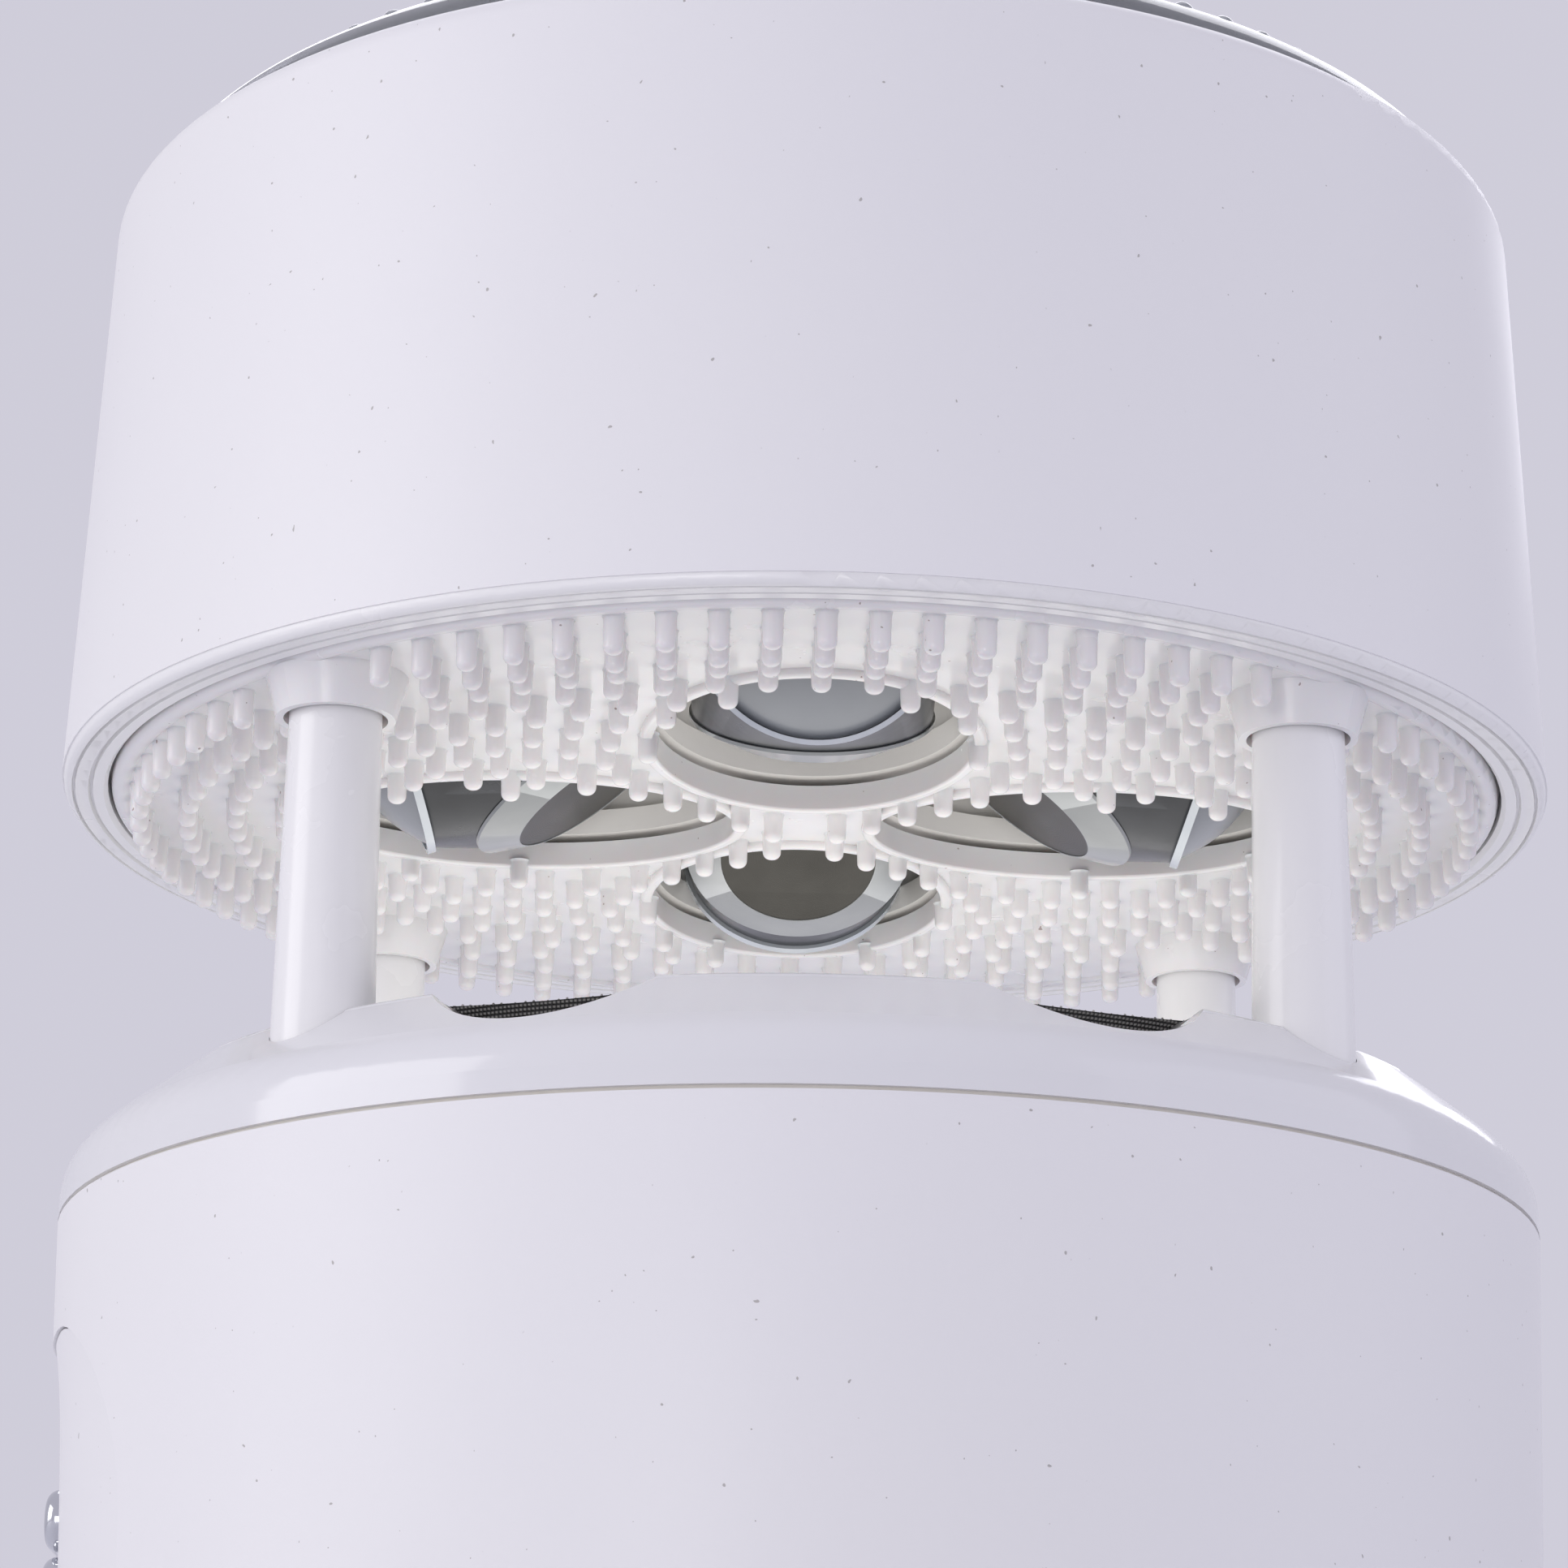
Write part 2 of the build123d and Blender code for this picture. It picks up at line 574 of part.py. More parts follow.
# ---- the four posts and their screws -------------------------------------------
for name, turn in DIAGONALS.items():
    x, y = POST_CIRCLE * cos(radians(turn)), POST_CIRCLE * sin(radians(turn))
    with BuildPart() as post:
        with BuildSketch(Plane.XZ):
            with BuildLine():
                Polyline(
                    (0, POST_SHANK_Z + 0.2),
                    (POST_SHANK_RADIUS, POST_SHANK_Z + 0.2),
                    (POST_SHANK_RADIUS, POST_FOOT_Z),
                    (POST_LOW_RADIUS, POST_FOOT_Z),
                    (POST_LOW_RADIUS, RIM_TOP_Z - 0.5),
                    (POST_TOP_RADIUS, MAT_Z),
                    (POST_TOP_RADIUS - 0.05, POST_TIP_Z - 0.8),
                    (POST_TOP_RADIUS - 0.85, POST_TIP_Z),
                    (0, POST_TIP_Z),
                    close=True,
                )
            make_face()
        revolve(axis=Axis.Z)
        with BuildSketch(Plane.XY.offset(POST_SHANK_Z)):
            Circle(SCREW_RADIUS)
        extrude(amount=9.0, mode=Mode.SUBTRACT)
    save(Pos(x, y, 0) * post.part, f"post_{name}")

with BuildPart() as post_screws:
    with BuildSketch(Plane.XY.offset(PEDESTAL_LOW_Z - 1.6)):
        with post_places():
            Circle(2.4)
    extrude(amount=1.6)
    with BuildSketch(Plane.XY.offset(PEDESTAL_LOW_Z - 1.6)):
        with post_places():
            Circle(SCREW_RADIUS - 0.02)
    extrude(amount=11.0)
save(post_screws.part, "post_screws")

# ---- head: silicone mat ----------------------------------------------------------
COLLAR_BASE_RADIUS = 4.75
COLLAR_LOW_RADIUS = 3.95
COLLAR_HEIGHT = 2.85
COLLAR_BORE = 3.45
MAT_TOP_Z = MAT_LOW_Z + MAT_THICKNESS

with BuildPart() as scrub_mat:
    with BuildSketch(Plane.XZ):
        with BuildLine():
            Polyline(
                (MAT_RADIUS, MAT_Z + 0.5),
                (MAT_RADIUS, MAT_TOP_Z),
                (0, MAT_TOP_Z),
                (0, MAT_LOW_Z),
                (MAT_RADIUS - 1.3, MAT_LOW_Z),
            )
            ThreePointArc(
                (MAT_RADIUS - 1.3, MAT_LOW_Z),
                (MAT_RADIUS - 0.4, MAT_Z - 0.12),
                (MAT_RADIUS, MAT_Z + 0.5),
            )
        make_face()
    revolve(axis=Axis.Z)
    with BuildSketch(Plane.XY.offset(MAT_LOW_Z)):
        with PolarLocations(WINDOW_CENTRE, 4):
            Ellipse(WINDOW_LONG + 0.9, WINDOW_WIDE + 0.9)
    extrude(amount=-WINDOW_LIP)
    lip_z = MAT_LOW_Z - WINDOW_LIP
    fillet(scrub_mat.edges().filter_by_position(Axis.Z, lip_z, lip_z), 0.35)
    with post_places():
        with Locations((0, 0, MAT_LOW_Z - COLLAR_HEIGHT / 2)):
            Cone(COLLAR_LOW_RADIUS, COLLAR_BASE_RADIUS, COLLAR_HEIGHT)
    with BuildSketch(Plane.XY.offset(MAT_LOW_Z - COLLAR_HEIGHT)):
        with post_places():
            Circle(COLLAR_BORE)
        with PolarLocations(WINDOW_CENTRE, 4):
            Ellipse(WINDOW_LONG, WINDOW_WIDE)
    extrude(amount=COLLAR_HEIGHT + MAT_THICKNESS, mode=Mode.SUBTRACT)
    lip_edges = scrub_mat.edges().filter_by_position(Axis.Z, lip_z, lip_z)
    fillet(lip_edges.sort_by(SortBy.LENGTH)[:4], 0.2)
save(scrub_mat.part, "scrub_mat")

# ---- head: lamp deck with its pockets and post sockets ----------------------------
DECK_RADIUS = 50.2
DECK_OPENING = (14.6, 10.7)
POCKET_LONG = 15.4
POCKET_WIDE = 11.6
SOCKET_RADIUS = POST_TOP_RADIUS + SOCKET_FIT
SOCKET_TOP_Z = POST_TIP_Z + 0.2
HEAD_SCREW_CIRCLE = 44.5
LAMP_BOARD_Z = POCKET_TOP_Z + 4.0

with BuildPart() as lamp_deck:
    with BuildSketch(Plane.XY.offset(DECK_Z)):
        Circle(DECK_RADIUS)
    extrude(amount=DECK_THICKNESS)
    with BuildSketch(Plane.XY.offset(DECK_Z + DECK_THICKNESS / 2)):
        with PolarLocations(WINDOW_CENTRE, 4):
            Ellipse(POCKET_LONG + POCKET_WALL, POCKET_WIDE + POCKET_WALL)
    extrude(amount=POCKET_TOP_Z + POCKET_WALL - DECK_Z - DECK_THICKNESS / 2)
    with BuildSketch(Plane.XY.offset(DECK_Z + DECK_THICKNESS / 2)):
        with post_places():
            Circle(SOCKET_RADIUS + 1.4)
    extrude(amount=SOCKET_TOP_Z + 1.8 - DECK_Z - DECK_THICKNESS / 2)
    with BuildSketch(Plane.XY.offset(POCKET_TOP_Z)):
        with PolarLocations(WINDOW_CENTRE, 4):
            Circle(3.0)
    extrude(amount=LAMP_BOARD_Z - POCKET_TOP_Z)
    with BuildSketch(Plane.XY.offset(DECK_Z + DECK_THICKNESS)):
        with PolarLocations(WINDOW_CENTRE, 4):
            Ellipse(POCKET_LONG, POCKET_WIDE)
    extrude(amount=POCKET_TOP_Z - DECK_Z - DECK_THICKNESS, mode=Mode.SUBTRACT)
    with BuildSketch(Plane.XY.offset(DECK_Z)):
        with PolarLocations(WINDOW_CENTRE, 4):
            Ellipse(*DECK_OPENING)
        with PolarLocations(HEAD_SCREW_CIRCLE, 4):
            Circle(SCREW_RADIUS)
    extrude(amount=DECK_THICKNESS, mode=Mode.SUBTRACT)
    with BuildSketch(Plane.XY.offset(DECK_Z)):
        with PolarLocations(HEAD_SCREW_CIRCLE, 4):
            Circle(2.5)
    extrude(amount=1.0, mode=Mode.SUBTRACT)
    with BuildSketch(Plane.XY.offset(DECK_Z)):
        with post_places():
            Circle(SOCKET_RADIUS)
    extrude(amount=SOCKET_TOP_Z - DECK_Z, mode=Mode.SUBTRACT)
save(lamp_deck.part, "lamp_deck")

with BuildPart() as deck_screws:
    with BuildSketch(Plane.XY.offset(DECK_Z + 0.1)):
        with PolarLocations(HEAD_SCREW_CIRCLE, 4):
            Circle(2.4)
    extrude(amount=0.9)
    with BuildSketch(Plane.XY.offset(DECK_Z + 0.1)):
        with PolarLocations(HEAD_SCREW_CIRCLE, 4):
            Circle(SCREW_RADIUS - 0.02)
    extrude(amount=7.0)
save(deck_screws.part, "deck_screws")

with BuildPart() as lamp_board:
    with BuildSketch(Plane.XY.offset(LAMP_BOARD_Z)):
        Circle(38.0)
        Circle(5.0, mode=Mode.SUBTRACT)
    extrude(amount=1.6)
    with BuildSketch(Plane.XY.offset(LAMP_BOARD_Z + 1.6)):
        with PolarLocations(WINDOW_CENTRE, 4):
            Rectangle(7.0, 5.0)
        with PolarLocations(30.0, 4, start_angle=45):
            Circle(2.5)
    extrude(amount=2.4)
save(lamp_board.part, "lamp_board")

# ---- head: lamp pods, drawn for the right-hand window and turned to each side ------
LENS_RISE = 4.2
CONE_RISE = 1.64
DISC_RADIUS = 5.85
RIM_WIDTH = 0.35

lens_dir = (cos(radians(LENS_TILT)), -sin(radians(LENS_TILT)))
cone_dir = (-cos(radians(CONE_TILT)), -sin(radians(CONE_TILT)))
lens_middle = (
    LENS_LOW[0] - POD_RADIUS * lens_dir[1],
    LENS_LOW[1] + POD_RADIUS * lens_dir[0],
)
cone_middle = (
    CONE_LOW[0] + POD_RADIUS * cone_dir[1],
    CONE_LOW[1] - POD_RADIUS * cone_dir[0],
)


def end_plane(middle, direction):
    """Plane of one round end of the pod, facing the given way in the XZ plane."""
    return Plane(
        origin=(middle[0], 0, middle[1]),
        x_dir=(0, 1, 0),
        z_dir=(direction[0], 0, direction[1]),
    )


lens_plane = end_plane(lens_middle, lens_dir)
cone_plane = end_plane(cone_middle, cone_dir)
cone_back_plane = end_plane(cone_middle, (-cone_dir[0], -cone_dir[1]))

with BuildPart() as pod_body:
    with BuildSketch(lens_plane):
        Circle(POD_RADIUS - 0.3)
    with BuildSketch(cone_back_plane):
        Circle(POD_RADIUS - 0.3)
    loft()
    with BuildSketch(Plane.XY.offset(POCKET_TOP_Z)):
        with Locations((23.5, 0)):
            Circle(3.2)
    extrude(amount=-6.0)

with BuildPart() as pod_rim:
    with BuildSketch(lens_plane):
        Circle(POD_RADIUS)
        Circle(POD_RADIUS - RIM_WIDTH, mode=Mode.SUBTRACT)
    extrude(amount=0.6)

lens_base = POD_RADIUS - RIM_WIDTH - 0.05
with BuildPart() as pod_lens:
    with BuildSketch(Plane.XZ):
        with BuildLine():
            RadiusArc(
                (0, LENS_RISE),
                (lens_base, 0),
                (lens_base**2 + LENS_RISE**2) / (2 * LENS_RISE),
            )
            Polyline((lens_base, 0), (0, 0), (0, LENS_RISE))
        make_face()
    revolve(axis=Axis.Z)

with BuildPart() as pod_cone:
    with BuildSketch(Plane.XZ):
        with BuildLine():
            Polyline(
                (0, 0),
                (POD_RADIUS - 0.15, 0),
                (POD_RADIUS - 0.15, 0.25),
                (DISC_RADIUS + 0.1, CONE_RISE),
                (DISC_RADIUS + 0.02, CONE_RISE),
                (DISC_RADIUS + 0.02, CONE_RISE - 0.5),
                (0, CONE_RISE - 0.5),
                close=True,
            )
        make_face()
    revolve(axis=Axis.Z)

with BuildPart() as pod_disc:
    with BuildSketch(Plane.XY.offset(CONE_RISE - 0.5)):
        Circle(DISC_RADIUS)
    extrude(amount=0.45)

for side, turn in SIDES.items():
    whole_turn = Rot(0, 0, turn)
    save(whole_turn * pod_body.part, f"pod_body_{side}")
    save(whole_turn * pod_rim.part, f"pod_rim_{side}")
    save(whole_turn * lens_plane.location * pod_lens.part, f"pod_lens_{side}")
    save(whole_turn * cone_plane.location * pod_cone.part, f"pod_cone_{side}")
    save(whole_turn * cone_plane.location * pod_disc.part, f"pod_disc_{side}")

# ---- head: drum, retaining ring, lid and beaded ring -------------------------------
DRUM_INNER_LOW = DRUM_LOW_RADIUS - 2.8
DRUM_INNER_HIGH = DRUM_HIGH_RADIUS - WALL
LID_LEDGE_Z = DRUM_TOP_Z - 4.0
LID_Z = DRUM_TOP_Z - 2.4
LID_RADIUS = 48.4
BOSS_RADIUS = 3.6

with BuildPart() as drum_shell:
    with BuildSketch(Plane.XZ):
        with BuildLine():
            Line((DRUM_LOW_RADIUS, DRUM_LOW_Z), (DRUM_HIGH_RADIUS, DRUM_TOP_Z - 1.6))
            ThreePointArc(
                (DRUM_HIGH_RADIUS, DRUM_TOP_Z - 1.6),
                (DRUM_HIGH_RADIUS - 0.5, DRUM_TOP_Z - 0.45),
                (DRUM_HIGH_RADIUS - 1.6, DRUM_TOP_Z),
            )
            Polyline(
                (DRUM_HIGH_RADIUS - 1.6, DRUM_TOP_Z),
                (LID_RADIUS + 0.1, DRUM_TOP_Z),
                (LID_RADIUS + 0.1, LID_Z),
                (LID_RADIUS - 2.0, LID_Z),
                (LID_RADIUS - 2.0, LID_LEDGE_Z),
                (DRUM_INNER_HIGH, LID_LEDGE_Z - 3.0),
                (DRUM_INNER_LOW, DRUM_LOW_Z),
                (DRUM_LOW_RADIUS, DRUM_LOW_Z),
            )
        make_face()
    revolve(axis=Axis.Z)
    with BuildSketch(Plane.XY.offset(DECK_Z + DECK_THICKNESS)):
        with PolarLocations(HEAD_SCREW_CIRCLE, 4):
            Circle(BOSS_RADIUS)
        with PolarLocations(HEAD_SCREW_CIRCLE + 3.4, 4):
            Rectangle(5.0, 3.0)
    extrude(amount=8.0)
    with BuildSketch(Plane.XY.offset(DECK_Z + DECK_THICKNESS)):
        with PolarLocations(HEAD_SCREW_CIRCLE, 4):
            Circle(SCREW_RADIUS)
    extrude(amount=7.0, mode=Mode.SUBTRACT)
save(drum_shell.part, "drum_shell")

RING_INNER = MAT_RADIUS + 0.25
with BuildPart() as retaining_ring:
    with BuildSketch(Plane.XZ):
        with BuildLine():
            Polyline(
                (RING_INNER, DRUM_LOW_Z + 1.1),
                (RING_INNER + 0.4, DRUM_LOW_Z + 1.1),
                (RING_INNER + 0.4, DRUM_LOW_Z),
                (DRUM_LOW_RADIUS - 0.12, DRUM_LOW_Z),
            )
            ThreePointArc(
                (DRUM_LOW_RADIUS - 0.12, DRUM_LOW_Z),
                (DRUM_LOW_RADIUS - 0.25, MAT_Z + 0.3),
                (DRUM_LOW_RADIUS - 0.7, MAT_Z + 0.02),
            )
            Polyline(
                (DRUM_LOW_RADIUS - 0.7, MAT_Z + 0.02),
                (DRUM_LOW_RADIUS - 0.75, MAT_Z + 0.3),
                (DRUM_LOW_RADIUS - 0.9, MAT_Z + 0.3),
                (DRUM_LOW_RADIUS - 0.95, MAT_Z),
            )
            ThreePointArc(
                (DRUM_LOW_RADIUS - 0.95, MAT_Z),
                (DRUM_LOW_RADIUS - 1.4, MAT_Z + 0.09),
                (DRUM_LOW_RADIUS - 1.85, MAT_Z),
            )
            Polyline(
                (DRUM_LOW_RADIUS - 1.85, MAT_Z),
                (DRUM_LOW_RADIUS - 1.95, MAT_Z + 0.35),
                (DRUM_LOW_RADIUS - 2.15, MAT_Z + 0.35),
                (DRUM_LOW_RADIUS - 2.2, MAT_Z + 0.03),
                (RING_INNER + 0.3, MAT_Z),
                (RING_INNER, MAT_Z + 0.3),
                (RING_INNER, DRUM_LOW_Z + 1.1),
            )
        make_face()
    revolve(axis=Axis.Z)
save(retaining_ring.part, "retaining_ring")

LID_STEP_RADIUS = 36.0
with BuildPart() as head_lid:
    with BuildSketch(Plane.XZ):
        with BuildLine():
            Polyline(
                (0, LID_Z),
                (LID_RADIUS, LID_Z),
                (LID_RADIUS, DRUM_TOP_Z),
                (LID_STEP_RADIUS, DRUM_TOP_Z),
                (LID_STEP_RADIUS, RING_TOP_Z - 1.4),
            )
            Spline(
                (LID_STEP_RADIUS, RING_TOP_Z - 1.4),
                (LID_STEP_RADIUS / 2, RING_TOP_Z - 2.0),
                (0, RING_TOP_Z - 2.3),
                tangents=((-1, -0.05), (-1, 0)),
            )
            Line((0, RING_TOP_Z - 2.3), (0, LID_Z))
        make_face()
    revolve(axis=Axis.Z)
save(head_lid.part, "head_lid")

with BuildPart() as bead_ring:
    with BuildSketch(Plane.XZ):
        with BuildLine():
            Polyline(
                (BEAD_CIRCLE + 0.4, RING_TOP_Z - 0.6),
                (LID_STEP_RADIUS + 0.2, RING_TOP_Z - 0.6),
                (LID_STEP_RADIUS + 0.2, DRUM_TOP_Z + 0.05),
                (DRUM_HIGH_RADIUS - 1.7, DRUM_TOP_Z + 0.05),
            )
            ThreePointArc(
                (DRUM_HIGH_RADIUS - 1.7, DRUM_TOP_Z + 0.05),
                (DRUM_HIGH_RADIUS - 3.0, DRUM_TOP_Z + 2.1),
                (BEAD_CIRCLE + 0.4, RING_TOP_Z - 0.6),
            )
        make_face()
    revolve(axis=Axis.Z)
    with PolarLocations(BEAD_CIRCLE, BEADS):
        with Locations((0, 0, RING_TOP_Z - 0.65)):
            Sphere(BEAD_RADIUS)
save(bead_ring.part, "bead_ring")
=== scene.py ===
"""Looks of a table-top brush cleaner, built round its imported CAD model.

A lesson in cells: each step says what the piece is on the real object and why it is made this way.
Everything is in metres, in the CAD model's own frame.
"""

# %% [markdown]
# The CAD model holds every real shape and size, so it is loaded first and never moved.

import math

import bmesh
import bpy
from mathutils import Matrix, Vector


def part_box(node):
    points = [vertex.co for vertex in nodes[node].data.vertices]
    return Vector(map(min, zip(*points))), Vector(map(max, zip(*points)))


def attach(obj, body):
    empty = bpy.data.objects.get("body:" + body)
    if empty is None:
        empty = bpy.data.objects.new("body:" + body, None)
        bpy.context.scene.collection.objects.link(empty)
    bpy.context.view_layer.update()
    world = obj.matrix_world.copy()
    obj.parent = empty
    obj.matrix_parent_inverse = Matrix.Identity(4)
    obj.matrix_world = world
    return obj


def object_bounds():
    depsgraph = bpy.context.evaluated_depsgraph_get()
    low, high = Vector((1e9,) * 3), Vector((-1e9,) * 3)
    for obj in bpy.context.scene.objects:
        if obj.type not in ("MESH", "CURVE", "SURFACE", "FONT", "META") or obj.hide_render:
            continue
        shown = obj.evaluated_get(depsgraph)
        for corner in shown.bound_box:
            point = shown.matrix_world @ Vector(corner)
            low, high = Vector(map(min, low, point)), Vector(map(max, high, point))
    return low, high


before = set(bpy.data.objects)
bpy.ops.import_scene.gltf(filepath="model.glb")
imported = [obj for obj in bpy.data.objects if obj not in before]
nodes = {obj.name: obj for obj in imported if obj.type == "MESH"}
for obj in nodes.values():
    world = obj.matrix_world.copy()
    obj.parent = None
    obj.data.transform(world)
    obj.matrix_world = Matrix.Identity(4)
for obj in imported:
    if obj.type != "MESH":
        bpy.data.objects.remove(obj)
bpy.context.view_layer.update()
MM = 0.001

# %% [markdown]
# Heights are read from the model. The mat's flange is where the head's parts are measured from,
# and the top of the rim is where the lower body's are.

# %% Heights taken from the model
SIDES = ("front", "right", "back", "left")
CORNERS = ("front_right", "back_right", "back_left", "front_left")


def high(name):
    """Height of a node's highest point."""
    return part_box(name)[1][2]


MAT_RISE = 1.45 * MM  # from the mat's flange to its highest point
MAT_FLANGE_Z = high("scrub_mat") - MAT_RISE
MAT_FACE_Z = MAT_FLANGE_Z + 0.05 * MM
RIM_TOP_Z = high("rim_cover")
print("mat face at", round(MAT_FACE_Z / MM, 2), "mm, rim top at", round(RIM_TOP_Z / MM, 2), "mm")

# %% [markdown]
# The camera stands a little below the mat and looks up at it with a long lens, so the
# underside shows as a flat oval. A long lens is made by a large focal length, and a small
# sideways shift keeps the cleaner where it stands in the frame.

# %% Camera
CAMERA_PLACE = Vector((-0.00897, -0.33973, 0.0050))
CAMERA_AIM = Vector((0.02526, 0.95658, 0.29036))
CAMERA_ROLL = 0.0130
LENS_MM = 112.23
SHIFT_X = -0.0133

camera_data = bpy.data.cameras.new("camera")
camera_data.lens = LENS_MM
camera_data.sensor_width = 36
camera_data.shift_x = SHIFT_X
camera_data.clip_start = 0.01
camera = bpy.data.objects.new("camera", camera_data)
turn = CAMERA_AIM.to_track_quat("-Z", "Y").to_matrix().to_4x4()
camera.matrix_world = Matrix.Translation(CAMERA_PLACE) @ turn @ Matrix.Rotation(CAMERA_ROLL, 4, "Z")
bpy.context.scene.collection.objects.link(camera)
bpy.context.scene.camera = camera
print("camera at", [round(v, 3) for v in CAMERA_PLACE])

# %% [markdown]
# White goods are shown in a light tent: a pale, slightly lilac surround, a broad soft light
# above and to the left, a cooler one on the right, and a low one in front that reaches the
# underside. The surround is the world colour, which also fills every shadow. A round card of
# light lies on the bowl and faces up, as one is laid there in a studio to open up the
# shadows under the mat. A small card in each window lights the pods above it.

# %% Surround, lights and floor
WORLD_COLOUR = (0.625, 0.612, 0.700, 1)
scene = bpy.context.scene
scene.view_settings.view_transform = "Standard"
world = bpy.data.worlds.new("light_tent")
world.use_nodes = True
world.node_tree.nodes["Background"].inputs["Color"].default_value = WORLD_COLOUR
world.node_tree.nodes["Background"].inputs["Strength"].default_value = 1.0
scene.world = world

AIM = Vector((0, 0, MAT_FACE_Z))


def soft_light(name, place, size, watts, colour):
    """A square soft box that faces the middle of the object."""
    data = bpy.data.lights.new(name, "AREA")
    data.size = size
    data.energy = watts
    data.color = colour
    light = bpy.data.objects.new(name, data)
    light.location = place
    light.rotation_euler = (AIM - Vector(place)).to_track_quat("-Z", "Y").to_euler()
    scene.collection.objects.link(light)
    return light


soft_light("key_left", (-0.70, -0.25, 0.30), 0.5, 1.5, (1.0, 0.985, 0.96))
soft_light("fill_right", (0.70, -0.22, 0.25), 0.8, 0.75, (0.90, 0.90, 1.0))
soft_light("low_front", (-0.16, -0.50, 0.050), 0.14, 0.30, (1.0, 0.985, 0.965))
soft_light("top_back", (0.1, 0.5, 0.6), 0.6, 2.0, (0.96, 0.96, 1.0))

CARD_LIFT = 1.5 * MM
card_place = (0, 0, RIM_TOP_Z + CARD_LIFT)
bowl_card = soft_light("bowl_card", card_place, 0.082, 0.020, (1.0, 0.985, 0.97))
bowl_card.data.shape = "DISK"
bowl_card.visible_camera = False

WINDOW_CENTRE = 20.25 * MM
for name, x, y in (("front", 0, -1), ("right", 1, 0), ("back", 0, 1), ("left", -1, 0)):
    place = (x * WINDOW_CENTRE, y * WINDOW_CENTRE, MAT_FACE_Z)
    window_card = soft_light("window_card_" + name, place, 0.016, 0.0006, (1.0, 0.98, 0.95))
    window_card.data.shape = "DISK"
    window_card.rotation_euler = (math.pi, 0, 0)
    window_card.visible_camera = False
    window_card.visible_glossy = False

floor_mesh = bpy.data.meshes.new("floor")
floor_shape = bmesh.new()
bmesh.ops.create_grid(floor_shape, x_segments=2, y_segments=2, size=1.5)
floor_shape.to_mesh(floor_mesh)
floor_shape.free()
floor = bpy.data.objects.new("floor", floor_mesh)
floor.location = (0, 0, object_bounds()[0][2])
scene.collection.objects.link(floor)

# %% [markdown]
# Every finish starts from one shader. Three small helpers keep the node trees short: one makes
# the material, one adds a noise read in object space, and one turns a height into a bump.
# Object space follows a piece when it moves, so a finish never slides over its surface.

# %% Helpers for finishes


def new_finish(name, colour, roughness, **sockets):
    """A material with one Principled shader. Extra names set the shader's own sockets."""
    material = bpy.data.materials.new(name)
    material.use_nodes = True
    shader = material.node_tree.nodes["Principled BSDF"]
    shader.inputs["Base Color"].default_value = (*colour, 1)
    shader.inputs["Roughness"].default_value = roughness
    for socket, value in sockets.items():
        shader.inputs[socket.replace("_", " ")].default_value = value
    return material


def add_node(material, kind, **values):
    """A node of this kind; names of its sockets or settings are set from the values."""
    node = material.node_tree.nodes.new(kind)
    for name, value in values.items():
        if name in node.inputs:
            node.inputs[name].default_value = value
        else:
            setattr(node, name, value)
    return node


def join(material, source, target):
    """Links an output socket to an input socket."""
    material.node_tree.links.new(source, target)


def shader_of(material):
    return material.node_tree.nodes["Principled BSDF"]


def object_space(material):
    return add_node(material, "ShaderNodeTexCoord").outputs["Object"]


def noise(material, scale, detail=3.0, stretch=None):
    """A noise field in object space, as its height; stretch squeezes it along X, Y and Z."""
    field = add_node(material, "ShaderNodeTexNoise", Scale=scale, Detail=detail)
    place = object_space(material)
    if stretch:
        mapping = add_node(material, "ShaderNodeMapping", Scale=stretch)
        join(material, place, mapping.inputs["Vector"])
        place = mapping.outputs["Vector"]
    join(material, place, field.inputs["Vector"])
    return field.outputs["Fac"]


def ramp(material, source, stops):
    """Maps a height to a colour or a grey through the given (place, value) stops."""
    node = add_node(material, "ShaderNodeValToRGB")
    node.color_ramp.elements[0].position = stops[0][0]
    node.color_ramp.elements[1].position = stops[-1][0]
    for place, _ in stops[1:-1]:
        node.color_ramp.elements.new(place)
    for element, (_, value) in zip(node.color_ramp.elements, stops):
        element.color = (*value, 1) if isinstance(value, tuple) else (value, value, value, 1)
    join(material, source, node.inputs["Fac"])
    return node.outputs["Color"]


def bump(material, height, depth, strength=1.0):
    """Bump from a height that runs 0 to 1 over a depth in metres. Bumps stack up."""
    node = add_node(material, "ShaderNodeBump", Strength=strength, Distance=depth)
    normal = shader_of(material).inputs["Normal"]
    if normal.links:
        join(material, normal.links[0].from_socket, node.inputs["Normal"])
    join(material, height, node.inputs["Height"])
    join(material, node.outputs["Normal"], normal)
    return node


def paint(material, names):
    """Gives the material to CAD nodes, in all their slots."""
    for name in names:
        mesh = nodes[name].data
        mesh.materials.clear()
        mesh.materials.append(material)


def smooth_colour(material, scale, stops, detail=3.0):
    """Slow drift of the base colour over the piece."""
    colour = ramp(material, noise(material, scale, detail), stops)
    join(material, colour, shader_of(material).inputs["Base Color"])


def vary_roughness(material, scale, least, most):
    """Slow drift of the gloss over the piece."""
    rough = ramp(material, noise(material, scale), [(0.3, least), (0.7, most)])
    join(material, rough, shader_of(material).inputs["Roughness"])


print("helpers ready")

# %% [markdown]
# The drum, the lower body and its panel are moulded in white plastic with a silky touch. Light sinks in a
# little, so the white is soft, and the surface has a fine, even grain that only shows in a
# grazing light, with a broad, faint orange-peel under it. A few specks of dust are part of the
# finish: tiny grey flecks, from a noise whose peaks alone show.

# %% Silky white housing
WHITE_WARM = (0.845, 0.838, 0.836)
WHITE_COOL = (0.825, 0.820, 0.836)


